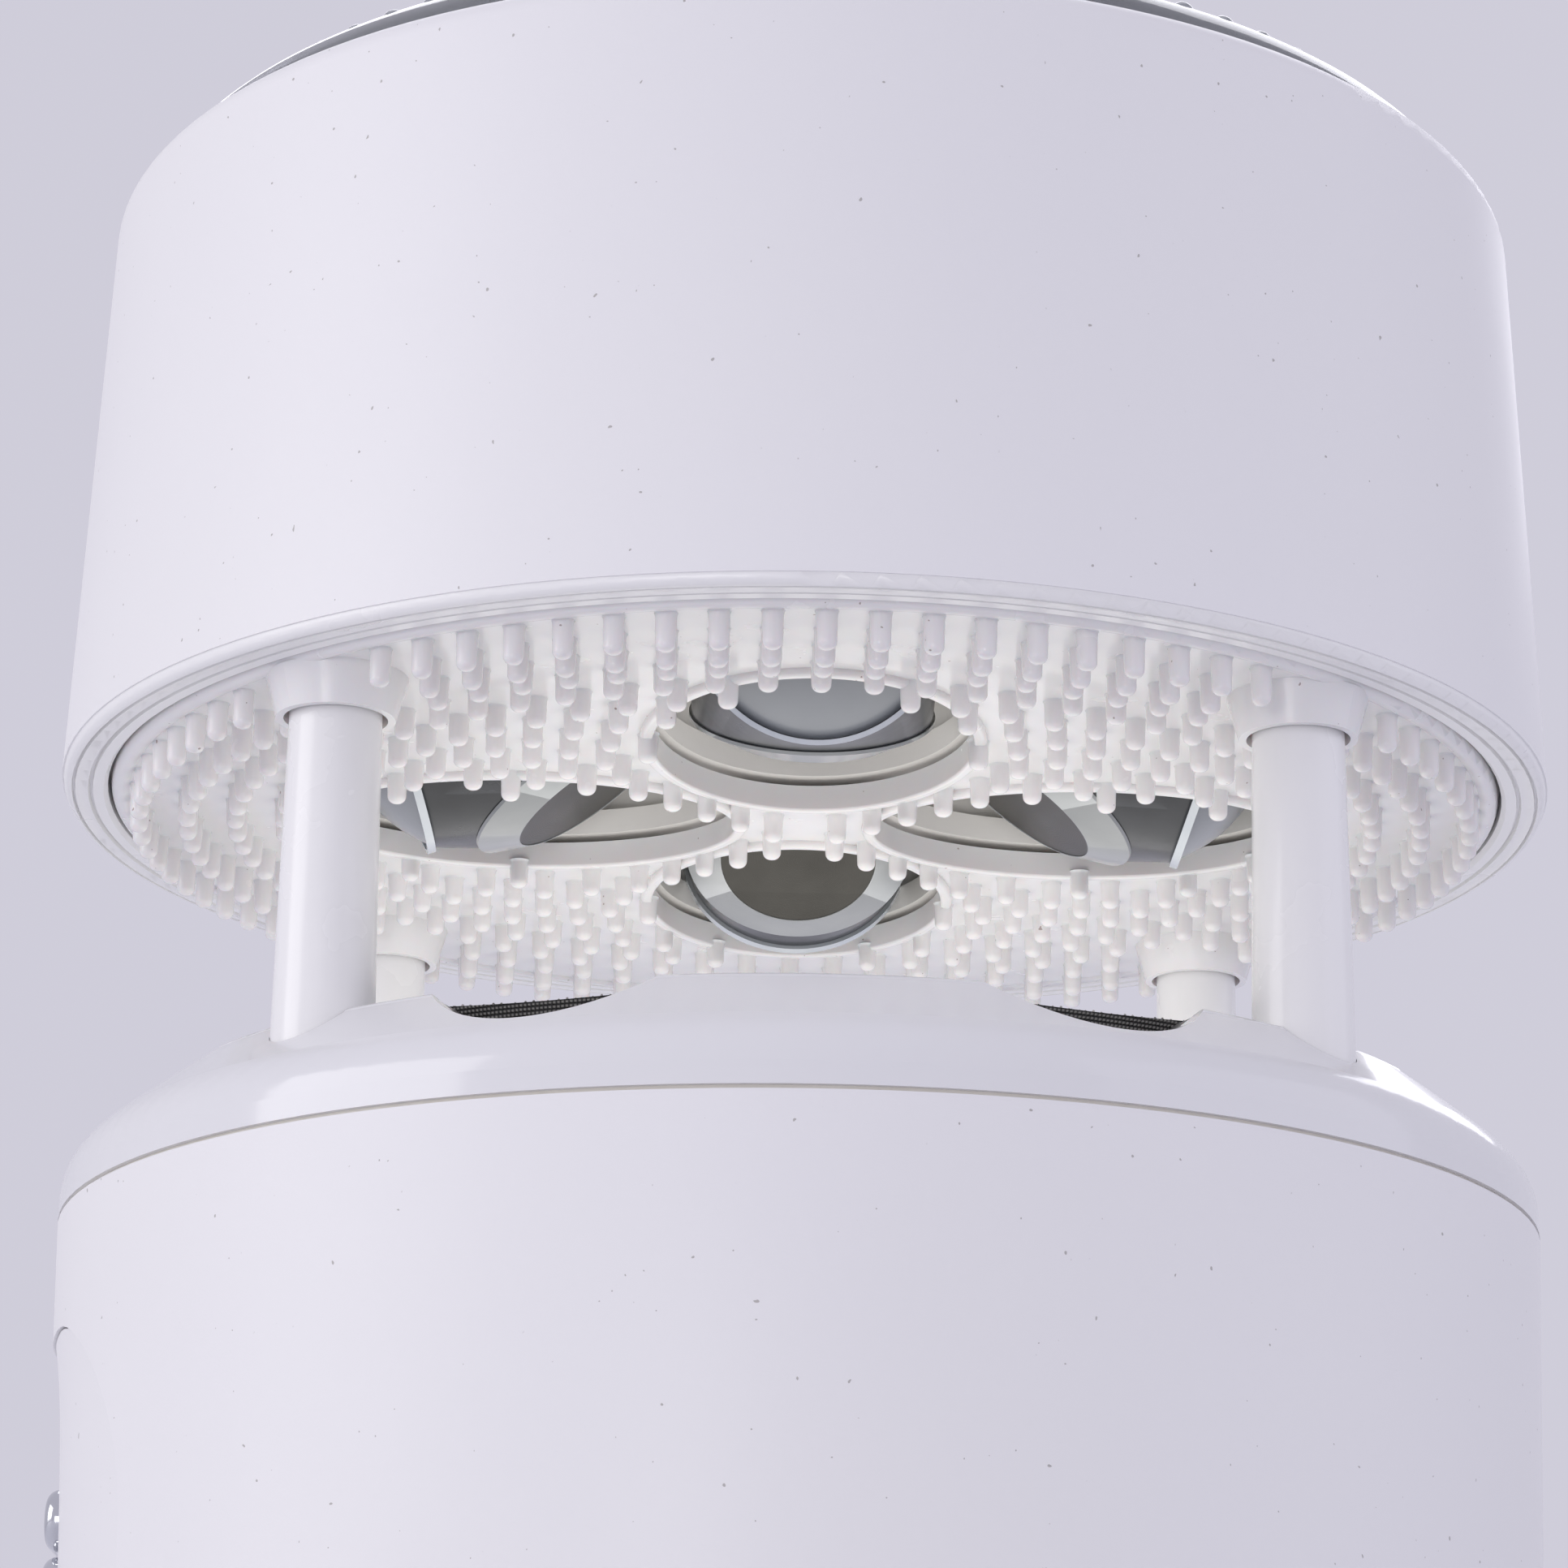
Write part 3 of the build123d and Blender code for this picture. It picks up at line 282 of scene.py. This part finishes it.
def specks(material, base, grey, scale, threshold):
    """Mixes tiny dark flecks into the colour feeding the shader."""
    edges = [(threshold, 0.0), (threshold + 0.02, 1.0)]
    peaks = ramp(material, noise(material, scale, 0.0), edges)
    mix = add_node(material, "ShaderNodeMix", data_type="RGBA")
    join(material, peaks, mix.inputs["Factor"])
    join(material, base, mix.inputs["A"])
    mix.inputs["B"].default_value = (*grey, 1)
    join(material, mix.outputs["Result"], shader_of(material).inputs["Base Color"])


silky = new_finish("silky_white", WHITE_WARM, 0.48, Coat_Weight=0.12, Coat_Roughness=0.3)
drift = ramp(silky, noise(silky, 9.0), [(0.3, WHITE_COOL), (0.7, WHITE_WARM)])
specks(silky, drift, (0.46, 0.44, 0.43), 2600.0, 0.862)
bump(silky, noise(silky, 5200.0, 2.0), 0.000012, 0.5)
bump(silky, noise(silky, 160.0, 2.0), 0.00002, 0.25)
vary_roughness(silky, 60.0, 0.44, 0.54)
paint(silky, ["drum_shell", "base_shell", "control_panel"])
print("painted", silky.name)

# %% [markdown]
# The rim, the ring round the mat and the posts come from polished moulds, so their white has a
# clear, slightly wavy gloss. Real mouldings are never quite flat, and that waviness is what
# bends a reflection, so it is a very long, very shallow bump.

# %% Polished white
polished = new_finish("polished_white", WHITE_WARM, 0.16, Coat_Weight=0.35, Coat_Roughness=0.06)
smooth_colour(polished, 14.0, [(0.3, (0.765, 0.765, 0.785)), (0.7, (0.795, 0.793, 0.798))])
bump(polished, noise(polished, 45.0, 1.0), 0.00006, 0.25)
bump(polished, noise(polished, 2400.0, 2.0), 0.000004, 0.4)
vary_roughness(polished, 90.0, 0.13, 0.21)
paint(polished, ["rim_cover"])

MOULD_WHITE = (0.87, 0.865, 0.86)
MOULD_DRIFT = [(0.3, (0.855, 0.85, 0.845)), (0.7, (0.88, 0.876, 0.87))]

ring_white = new_finish("ring_white", MOULD_WHITE, 0.30, Coat_Weight=0.2, Coat_Roughness=0.15)
smooth_colour(ring_white, 20.0, MOULD_DRIFT)
bump(ring_white, noise(ring_white, 1800.0, 2.0), 0.000008, 0.4)
vary_roughness(ring_white, 120.0, 0.26, 0.36)
paint(ring_white, ["retaining_ring"])

post_white = new_finish("post_white", MOULD_WHITE, 0.24, Coat_Weight=0.3, Coat_Roughness=0.1)
smooth_colour(post_white, 40.0, MOULD_DRIFT)
bump(post_white, noise(post_white, 500.0, 2.0, (1, 1, 0.08)), 0.00001, 0.35)
vary_roughness(post_white, 200.0, 0.20, 0.30)
paint(post_white, ["post_" + corner for corner in CORNERS])
print("painted", polished.name, ring_white.name, post_white.name)

# %% [markdown]
# The mat and its nubs are silicone, a warm white that light enters deeply. It has a wet-looking
# gloss, so each nub is mirrored in the mat above it and carries a small bright spot on its tip.
# Subsurface gives the depth, a low roughness the shine, and a fine bump the mould's slight texture.

# %% Silicone
silicone = new_finish(
    "silicone",
    (0.83, 0.82, 0.81),
    0.22,
    Subsurface_Weight=0.15,
    Subsurface_Scale=0.0012,
    Coat_Weight=0.25,
    Coat_Roughness=0.08,
)
drift = ramp(silicone, noise(silicone, 60.0), [(0.3, (0.80, 0.79, 0.785)), (0.7, (0.84, 0.83, 0.825))])
specks(silicone, drift, (0.42, 0.36, 0.34), 3200.0, 0.86)
bump(silicone, noise(silicone, 900.0, 2.0), 0.00002, 0.25)
vary_roughness(silicone, 300.0, 0.18, 0.28)
paint(silicone, ["scrub_mat"])
print("painted", silicone.name)

# %% [markdown]
# The nubs stand on fourteen rings round the middle of the mat, each ring the same step further out.
# The four outer rings run right round. The inner ones are laid out from the diagonals between the
# windows, because that is where the webs of mat are, and stop short of each window. Nubs that
# would stand on a post's collar are left out. Each nub is a turned shape: a small flare at the
# foot, a slight taper, and a rounded tip. Writing them all into one mesh keeps the scene light.

# %% Where the nubs stand
RING_START = 3.225 * MM
RING_STEP = 3.425 * MM
NUB_PITCH = 3.45 * MM
FULL_RINGS = {10: 68, 11: 76, 12: 82, 13: 88}  # nubs on each ring that runs right round
WINDOW_LONG = 15.2 * MM
WINDOW_WIDE = 11.0 * MM
WINDOW_MARGIN = 0.3 * MM
POST_CIRCLE = 45.0 * MM
COLLAR_CLEAR = 5.9 * MM
FRONT = -math.pi / 2


def clear_of_windows(x, y):
    """True where a nub's foot stays on the mat beside all four windows."""
    for along, across in ((x, y), (-x, y), (y, x), (-y, x)):
        share_along = (along - WINDOW_CENTRE) / (WINDOW_LONG + WINDOW_MARGIN)
        share_across = across / (WINDOW_WIDE + WINDOW_MARGIN)
        if math.hypot(share_along, share_across) < 1:
            return False
    return True


def clear_of_collars(x, y):
    """True where a nub's foot stays outside the collar of the nearest post."""
    corner = POST_CIRCLE / math.sqrt(2)
    return math.hypot(abs(x) - corner, abs(y) - corner) > COLLAR_CLEAR


def ring_angles(index, ring_radius):
    """Angles of the nubs on one ring, from the front for a full ring, else from each diagonal."""
    if index in FULL_RINGS:
        count = FULL_RINGS[index]
        return [FRONT + 2 * math.pi * k / count for k in range(count)]
    step = NUB_PITCH / ring_radius
    start = step / 2 if index == 5 else 0.0
    reach = int(math.pi / 4 / step)
    offsets = sorted({sign * (start + step * k) for k in range(reach + 1) for sign in (-1, 1)})
    if index < 5:
        offsets = [0.0]
    return [math.pi / 4 + math.pi / 2 * quarter + offset for quarter in range(4) for offset in offsets]


nub_places = []
for index in range(14):
    ring_radius = RING_START + RING_STEP * index
    length = (2.58 if index >= 12 else 2.15 if index == 11 else 2.05) * MM
    for angle in ring_angles(index, ring_radius):
        x, y = ring_radius * math.cos(angle), ring_radius * math.sin(angle)
        if clear_of_windows(x, y) and clear_of_collars(x, y):
            nub_places.append((x, y, length))
print("nubs:", len(nub_places))

# %% Turn one outline into many nubs
NUB_RADIUS = 0.71 * MM
NUB_TAPER = 0.045 * MM  # radius lost between foot and shoulder
TIP_HEIGHT = 0.55 * MM
TIP_STEPS = 7


def nub_outline(length):
    """(radius, drop) pairs from the flared foot down the tapered side to the rounded tip."""
    foot = [
        (NUB_RADIUS + 0.10 * MM, -0.05 * MM),
        (NUB_RADIUS + 0.03 * MM, 0.06 * MM),
        (NUB_RADIUS, 0.2 * MM),
    ]
    shoulder = length - TIP_HEIGHT
    tip_radius = NUB_RADIUS - NUB_TAPER
    sides = [(NUB_RADIUS - 0.02 * MM, shoulder * 0.5), (tip_radius, shoulder)]
    tip = []
    for k in range(1, TIP_STEPS):
        bend = math.pi / 2 * k / TIP_STEPS
        tip.append((tip_radius * math.cos(bend) ** 0.8, shoulder + TIP_HEIGHT * math.sin(bend)))
    return foot + sides + tip


def turned_copies(name, places, outline_of, top_z, sides=20):
    """One mesh with a turned shape hanging below each place."""
    shape = bmesh.new()
    for x, y, length in places:
        rings = []
        for ring_radius, drop in outline_of(length):
            rings.append(
                [
                    shape.verts.new(
                        (
                            x + ring_radius * math.cos(2 * math.pi * k / sides),
                            y + ring_radius * math.sin(2 * math.pi * k / sides),
                            top_z - drop,
                        )
                    )
                    for k in range(sides)
                ]
            )
        for upper, lower in zip(rings, rings[1:]):
            for k in range(sides):
                shape.faces.new((upper[k], lower[k], lower[(k + 1) % sides], upper[(k + 1) % sides]))
        tip = shape.verts.new((x, y, top_z - length))
        for k in range(sides):
            shape.faces.new((rings[-1][k], tip, rings[-1][(k + 1) % sides]))
    bmesh.ops.recalc_face_normals(shape, faces=shape.faces)
    mesh = bpy.data.meshes.new(name)
    shape.to_mesh(mesh)
    shape.free()
    mesh.shade_smooth()
    piece = bpy.data.objects.new(name, mesh)
    scene.collection.objects.link(piece)
    return piece


nubs = turned_copies("mat_nubs", nub_places, nub_outline, MAT_FACE_Z)
nubs.data.materials.append(silicone)
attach(nubs, "head")
print("nub faces:", len(nubs.data.polygons))

# %% [markdown]
# Behind each window sits a cream moulding, the deck, with a hollow for the lamp pod. It is the
# one warm-coloured plastic on the cleaner, matt, with a fine spark-eroded grain.

# %% Cream deck
cream = new_finish("cream_plastic", (0.86, 0.84, 0.80), 0.5)
smooth_colour(cream, 60.0, [(0.3, (0.845, 0.825, 0.785)), (0.7, (0.875, 0.855, 0.815))])
bump(cream, noise(cream, 2500.0, 3.0), 0.00002, 0.6)
vary_roughness(cream, 150.0, 0.45, 0.6)
paint(cream, ["lamp_deck"])
print("painted", cream.name)

# %% [markdown]
# A pod has five finishes: a near-black moulded body, a thin bright edge, a frosted blue-grey lens,
# a pale glassy cone, and a dark metal disc that was turned on a lathe. The disc's fine circles come
# from the distance to its own middle, which is worked out for each side from the disc's box.

# %% Pod finishes
pod_black = new_finish("pod_black", (0.030, 0.032, 0.036), 0.3, Coat_Weight=0.3, Coat_Roughness=0.15)
smooth_colour(pod_black, 150.0, [(0.3, (0.022, 0.024, 0.028)), (0.7, (0.045, 0.048, 0.055))])
bump(pod_black, noise(pod_black, 1400.0, 2.0), 0.00001, 0.5)
vary_roughness(pod_black, 250.0, 0.25, 0.4)

pod_edge = new_finish("pod_edge", (0.62, 0.66, 0.70), 0.25, Metallic=0.35)
smooth_colour(pod_edge, 200.0, [(0.3, (0.56, 0.60, 0.64)), (0.7, (0.66, 0.69, 0.72))])
bump(pod_edge, noise(pod_edge, 1200.0, 2.0), 0.00001, 0.4)

frosted = new_finish("frosted_lens", (0.27, 0.285, 0.305), 0.33, Coat_Weight=0.5, Coat_Roughness=0.12)
smooth_colour(frosted, 90.0, [(0.3, (0.25, 0.265, 0.285)), (0.7, (0.295, 0.31, 0.33))])
bump(frosted, noise(frosted, 3000.0, 3.0), 0.00002, 0.5)
vary_roughness(frosted, 220.0, 0.28, 0.42)

pale_cone = new_finish("pale_cone", (0.29, 0.305, 0.31), 0.28, Coat_Weight=0.6, Coat_Roughness=0.1)
smooth_colour(pale_cone, 130.0, [(0.3, (0.24, 0.255, 0.26)), (0.7, (0.33, 0.34, 0.345))])
bump(pale_cone, noise(pale_cone, 2200.0, 3.0), 0.00002, 0.4)

for side in SIDES:
    paint(pod_black, ["pod_body_" + side])
    paint(pod_edge, ["pod_rim_" + side])
    paint(frosted, ["pod_lens_" + side])
    paint(pale_cone, ["pod_cone_" + side])


def turned_metal(name, middle, colour, scale, depth):
    """Metal with fine lathe circles round a point."""
    metal = new_finish(name, colour, 0.32, Metallic=0.9)
    centre = add_node(metal, "ShaderNodeVectorMath", operation="DISTANCE")
    centre.inputs[1].default_value = middle
    join(metal, object_space(metal), centre.inputs[0])
    wobble = add_node(metal, "ShaderNodeMath", operation="SINE")
    steps = add_node(metal, "ShaderNodeMath", operation="MULTIPLY")
    steps.inputs[1].default_value = scale
    join(metal, centre.outputs["Value"], steps.inputs[0])
    join(metal, steps.outputs["Value"], wobble.inputs[0])
    tone = ramp(metal, noise(metal, 300.0), [(0.3, tuple(0.85 * c for c in colour)), (0.7, colour)])
    join(metal, tone, shader_of(metal).inputs["Base Color"])
    bump(metal, wobble.outputs["Value"], depth, 0.5)
    return metal


for side in SIDES:
    low_corner, high_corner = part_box("pod_disc_" + side)
    middle = [(a + b) / 2 for a, b in zip(low_corner, high_corner)]
    spun = turned_metal("spun_disc_" + side, middle, (0.085, 0.082, 0.075), 45000.0, 0.000006)
    paint(spun, ["pod_disc_" + side])
print("pods finished:", len(SIDES))

# %% [markdown]
# Inside the rim stands a dark plastic liner, and inside that a basket of woven steel wire. The
# basket's cut edge shows in every notch as a row of wire ends. Weaving each wire as a tube would
# take millions of faces, so the wall is one sheet whose bump follows the weave, and only the
# wire ends along its top edge are real pegs. The sheet's colour follows the weave too: over the
# wire's own dark steel it is painted near-black in the dips between the wires as painted shade,
# and lighter on the wires' crowns as painted highlight.

# %% Dark liner and its plastics
liner_grey = new_finish("liner_grey", (0.105, 0.105, 0.105), 0.42, Coat_Weight=0.15, Coat_Roughness=0.3)
smooth_colour(liner_grey, 90.0, [(0.3, (0.09, 0.09, 0.09)), (0.7, (0.13, 0.13, 0.128))])
bump(liner_grey, noise(liner_grey, 1600.0, 3.0), 0.00002, 0.5)
vary_roughness(liner_grey, 200.0, 0.36, 0.5)
paint(liner_grey, ["rim_liner", "bottom_cover", "battery_tray", "fan_housing", "fan_rotor"])

wire = new_finish("dark_wire", (0.10, 0.098, 0.092), 0.35, Metallic=0.75)
WIRE_PITCH = 0.29 * MM
WEAVE_RADIUS = 42.6 * MM


def weave_height(material):
    """Woven wires round an upright wall: warp and weft swap over and under at each crossing."""
    split = add_node(material, "ShaderNodeSeparateXYZ")
    join(material, object_space(material), split.inputs["Vector"])
    angle = add_node(material, "ShaderNodeMath", operation="ARCTAN2")
    join(material, split.outputs["Y"], angle.inputs[0])
    join(material, split.outputs["X"], angle.inputs[1])
    turns = add_node(material, "ShaderNodeMath", operation="MULTIPLY")
    turns.inputs[1].default_value = round(2 * math.pi * WEAVE_RADIUS / WIRE_PITCH) / 2
    join(material, angle.outputs["Value"], turns.inputs[0])
    rise = add_node(material, "ShaderNodeMath", operation="MULTIPLY")
    rise.inputs[1].default_value = math.pi / WIRE_PITCH
    join(material, split.outputs["Z"], rise.inputs[0])
    waves = []
    for source in (turns, rise):
        wave = add_node(material, "ShaderNodeMath", operation="SINE")
        join(material, source.outputs["Value"], wave.inputs[0])
        waves.append(wave.outputs["Value"])
    cross = add_node(material, "ShaderNodeMath", operation="MULTIPLY")
    join(material, waves[0], cross.inputs[0])
    join(material, waves[1], cross.inputs[1])
    size = add_node(material, "ShaderNodeMath", operation="ABSOLUTE")
    join(material, cross.outputs["Value"], size.inputs[0])
    return size.outputs["Value"]


weave = weave_height(wire)
# Painted light: the wire colour runs from near-black in the weave's dips (painted shade) to lighter on
# its crowns (painted highlight).
tone = ramp(wire, weave, [(0.05, (0.012, 0.012, 0.012)), (0.9, (0.20, 0.195, 0.18))])
join(wire, tone, shader_of(wire).inputs["Base Color"])
bump(wire, weave, 0.00010, 1.0)
paint(wire, ["mesh_screen"])
print("painted", liner_grey.name, wire.name)

# %% [markdown]
# The wires were cut with shears, so their ends stand at slightly different heights along the
# basket's edge. Each end is a short, thin, upright peg, and they follow the edge as it dips in
# every notch. The heights come from a sine that never repeats in step with the wires.

# %% Cut wire ends along the basket's edge
SCREEN_RADIUS = 42.65 * MM
SCREEN_EDGE_Z = high("mesh_screen")
NOTCH_COUNT = 8
NOTCH_HALF_ANGLE = math.asin(7.9 * MM / SCREEN_RADIUS)
SCREEN_SAG = 0.35 * MM
PEDESTAL_HALF_ANGLE = 5.75 * MM / SCREEN_RADIUS
WIRE_RADIUS = 0.085 * MM
WIRE_STAGGER = 0.12 * MM  # every other wire stands this far in or out
WIRE_SIDES = 6


def edge_height(angle):
    """Height of the basket's edge at an angle, with its dip in each notch."""
    step = 2 * math.pi / NOTCH_COUNT
    off_notch = abs(angle % step - step / 2)
    share = min(1.0, off_notch / NOTCH_HALF_ANGLE)
    return SCREEN_EDGE_Z - SCREEN_SAG * (1 - share * share)


def off_post(angle):
    """How far an angle is from the nearest post, in radians."""
    return abs(angle % (math.pi / 2) - math.pi / 4)


def wire_ends():
    """All the pegs as one mesh, with none where a post's pedestal breaks the basket."""
    shape = bmesh.new()
    count = round(2 * math.pi * SCREEN_RADIUS / WIRE_PITCH)
    for k in range(count):
        angle = 2 * math.pi * k / count
        if off_post(angle) < PEDESTAL_HALF_ANGLE:
            continue
        ragged = 0.5 + 0.5 * math.sin(k * 2.399)
        top = edge_height(angle) + (0.02 + 0.13 * ragged) * MM
        bottom = edge_height(angle) - 0.25 * MM
        spot = SCREEN_RADIUS + (WIRE_STAGGER if k % 2 else -WIRE_STAGGER)
        centre = Vector((spot * math.cos(angle), spot * math.sin(angle), 0))
        rings = []
        for z, thick in ((bottom, 1.0), (top - 0.05 * MM, 1.0), (top, 0.55)):
            rings.append(
                [
                    shape.verts.new(
                        centre
                        + Vector(
                            (
                                WIRE_RADIUS * thick * math.cos(angle + 2 * math.pi / WIRE_SIDES * j),
                                WIRE_RADIUS * thick * math.sin(angle + 2 * math.pi / WIRE_SIDES * j),
                                z,
                            )
                        )
                    )
                    for j in range(WIRE_SIDES)
                ]
            )
        for lower, upper in zip(rings, rings[1:]):
            for j in range(WIRE_SIDES):
                after = (j + 1) % WIRE_SIDES
                shape.faces.new((lower[j], lower[after], upper[after], upper[j]))
        shape.faces.new(rings[-1])
        shape.faces.new(rings[0][::-1])
    mesh = bpy.data.meshes.new("screen_wire_ends")
    shape.to_mesh(mesh)
    shape.free()
    piece = bpy.data.objects.new("screen_wire_ends", mesh)
    scene.collection.objects.link(piece)
    return piece


ends = wire_ends()
FACES_PER_END = 2 * WIRE_SIDES + 2
ends_metal = new_finish("wire_end_metal", (0.30, 0.29, 0.27), 0.3, Metallic=0.9)
smooth_colour(ends_metal, 3000.0, [(0.35, (0.16, 0.155, 0.145)), (0.65, (0.48, 0.47, 0.44))])
bump(ends_metal, noise(ends_metal, 4000.0), 0.00001, 0.4)
ends.data.materials.append(ends_metal)
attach(ends, "base")
print("wire ends:", len(ends.data.polygons) // FACES_PER_END)

# %% [markdown]
# The two keys are chromed plastic: a bright metal with hardly any roughness, a faint long wave
# from the moulding under the plating, and hair-fine scratches.

# %% Chrome keys
chrome = new_finish("chromed_keys", (0.66, 0.67, 0.70), 0.07, Metallic=1.0)
smooth_colour(chrome, 150.0, [(0.3, (0.60, 0.61, 0.64)), (0.7, (0.70, 0.71, 0.74))])
bump(chrome, noise(chrome, 250.0, 1.0), 0.00001, 0.25)
bump(chrome, noise(chrome, 3500.0, 2.0, (1, 0.1, 1)), 0.000002, 0.4)
vary_roughness(chrome, 400.0, 0.05, 0.13)
paint(chrome, ["power_button", "mode_button"])
print("painted", chrome.name)

# %% [markdown]
# The seam between wall and rim holds a thin tan seal, seen as a fine line. The feet are a soft
# black rubber, and the screws and the charging socket plain steel.

# %% Seal, rubber and steel
seal_tan = new_finish("seal_tan", (0.80, 0.76, 0.68), 0.5)
smooth_colour(seal_tan, 80.0, [(0.3, (0.77, 0.73, 0.65)), (0.7, (0.83, 0.80, 0.73))])
bump(seal_tan, noise(seal_tan, 1500.0), 0.00001, 0.5)
paint(seal_tan, ["seam_seal"])

foot_rubber = new_finish("foot_rubber", (0.035, 0.035, 0.037), 0.75)
smooth_colour(foot_rubber, 120.0, [(0.3, (0.028, 0.028, 0.030)), (0.7, (0.05, 0.05, 0.052))])
bump(foot_rubber, noise(foot_rubber, 1200.0, 4.0), 0.00005, 0.7)
paint(foot_rubber, ["bottom_feet"])

steel = new_finish("plain_steel", (0.42, 0.42, 0.43), 0.3, Metallic=1.0)
smooth_colour(steel, 200.0, [(0.3, (0.36, 0.36, 0.37)), (0.7, (0.48, 0.48, 0.49))])
bump(steel, noise(steel, 2000.0, 3.0, (1, 1, 0.2)), 0.00001, 0.5)
vary_roughness(steel, 300.0, 0.24, 0.4)
paint(steel, ["cover_screws", "deck_screws", "post_screws", "charge_socket", "fan_motor", "fan_shaft"])
print("painted", seal_tan.name, foot_rubber.name, steel.name)

# %% [markdown]
# On top the drum is closed by a clear ring set with clear beads and a polished lid. Clear plastic
# bends light and lets it through, so the ring is a transmissive shader with a grey tint. The
# tint stands for the depth of plastic that a thin ring's own shape doesn't give.

# %% Clear beaded ring and lid
clear_grey = new_finish("clear_ring", (0.60, 0.62, 0.64), 0.05, Transmission_Weight=0.85, IOR=1.49)
bump(clear_grey, noise(clear_grey, 120.0, 1.0), 0.00003, 0.2)
vary_roughness(clear_grey, 200.0, 0.03, 0.09)
paint(clear_grey, ["bead_ring"])

lid_white = new_finish("lid_white", (0.80, 0.80, 0.81), 0.12, Coat_Weight=0.4, Coat_Roughness=0.05)
smooth_colour(lid_white, 16.0, [(0.3, (0.77, 0.77, 0.785)), (0.7, (0.80, 0.80, 0.81))])
bump(lid_white, noise(lid_white, 40.0, 1.0), 0.00006, 0.25)
vary_roughness(lid_white, 100.0, 0.10, 0.17)
paint(lid_white, ["head_lid"])
print("painted", clear_grey.name, lid_white.name)

# %% [markdown]
# The inner pieces are hidden, but a cut or an exploded view shows them, so each has its own
# finish: green boards with a fine weave, wrapped cells, and a heater of bright ribbon.

# %% Inner pieces
board_green = new_finish("board_green", (0.03, 0.16, 0.07), 0.4, Coat_Weight=0.4, Coat_Roughness=0.2)
smooth_colour(board_green, 200.0, [(0.35, (0.02, 0.12, 0.05)), (0.65, (0.04, 0.20, 0.09))])
bump(board_green, noise(board_green, 2500.0, 2.0), 0.00001, 0.5)
paint(board_green, ["main_board", "switch_board", "lamp_board"])

cell_wrap = new_finish("cell_wrap", (0.06, 0.16, 0.36), 0.25, Coat_Weight=0.5, Coat_Roughness=0.1)
smooth_colour(cell_wrap, 100.0, [(0.3, (0.05, 0.13, 0.31)), (0.7, (0.07, 0.19, 0.41))])
bump(cell_wrap, noise(cell_wrap, 300.0, 2.0, (0.2, 1, 1)), 0.00004, 0.4)
paint(cell_wrap, ["battery_cells"])

ribbon = new_finish("heater_ribbon", (0.42, 0.36, 0.31), 0.35, Metallic=1.0)
smooth_colour(ribbon, 250.0, [(0.3, (0.34, 0.28, 0.24)), (0.7, (0.50, 0.44, 0.39))])
bump(ribbon, noise(ribbon, 1500.0, 3.0), 0.00002, 0.5)
paint(ribbon, ["heater"])

floor_white = new_finish("floor_white", (0.70, 0.70, 0.74), 0.7)
smooth_colour(floor_white, 3.0, [(0.3, (0.68, 0.68, 0.72)), (0.7, (0.72, 0.72, 0.76))])
floor.data.materials.append(floor_white)
print("painted", board_green.name, cell_wrap.name, ribbon.name)

# %% [markdown]

# %% End
print("end of script")
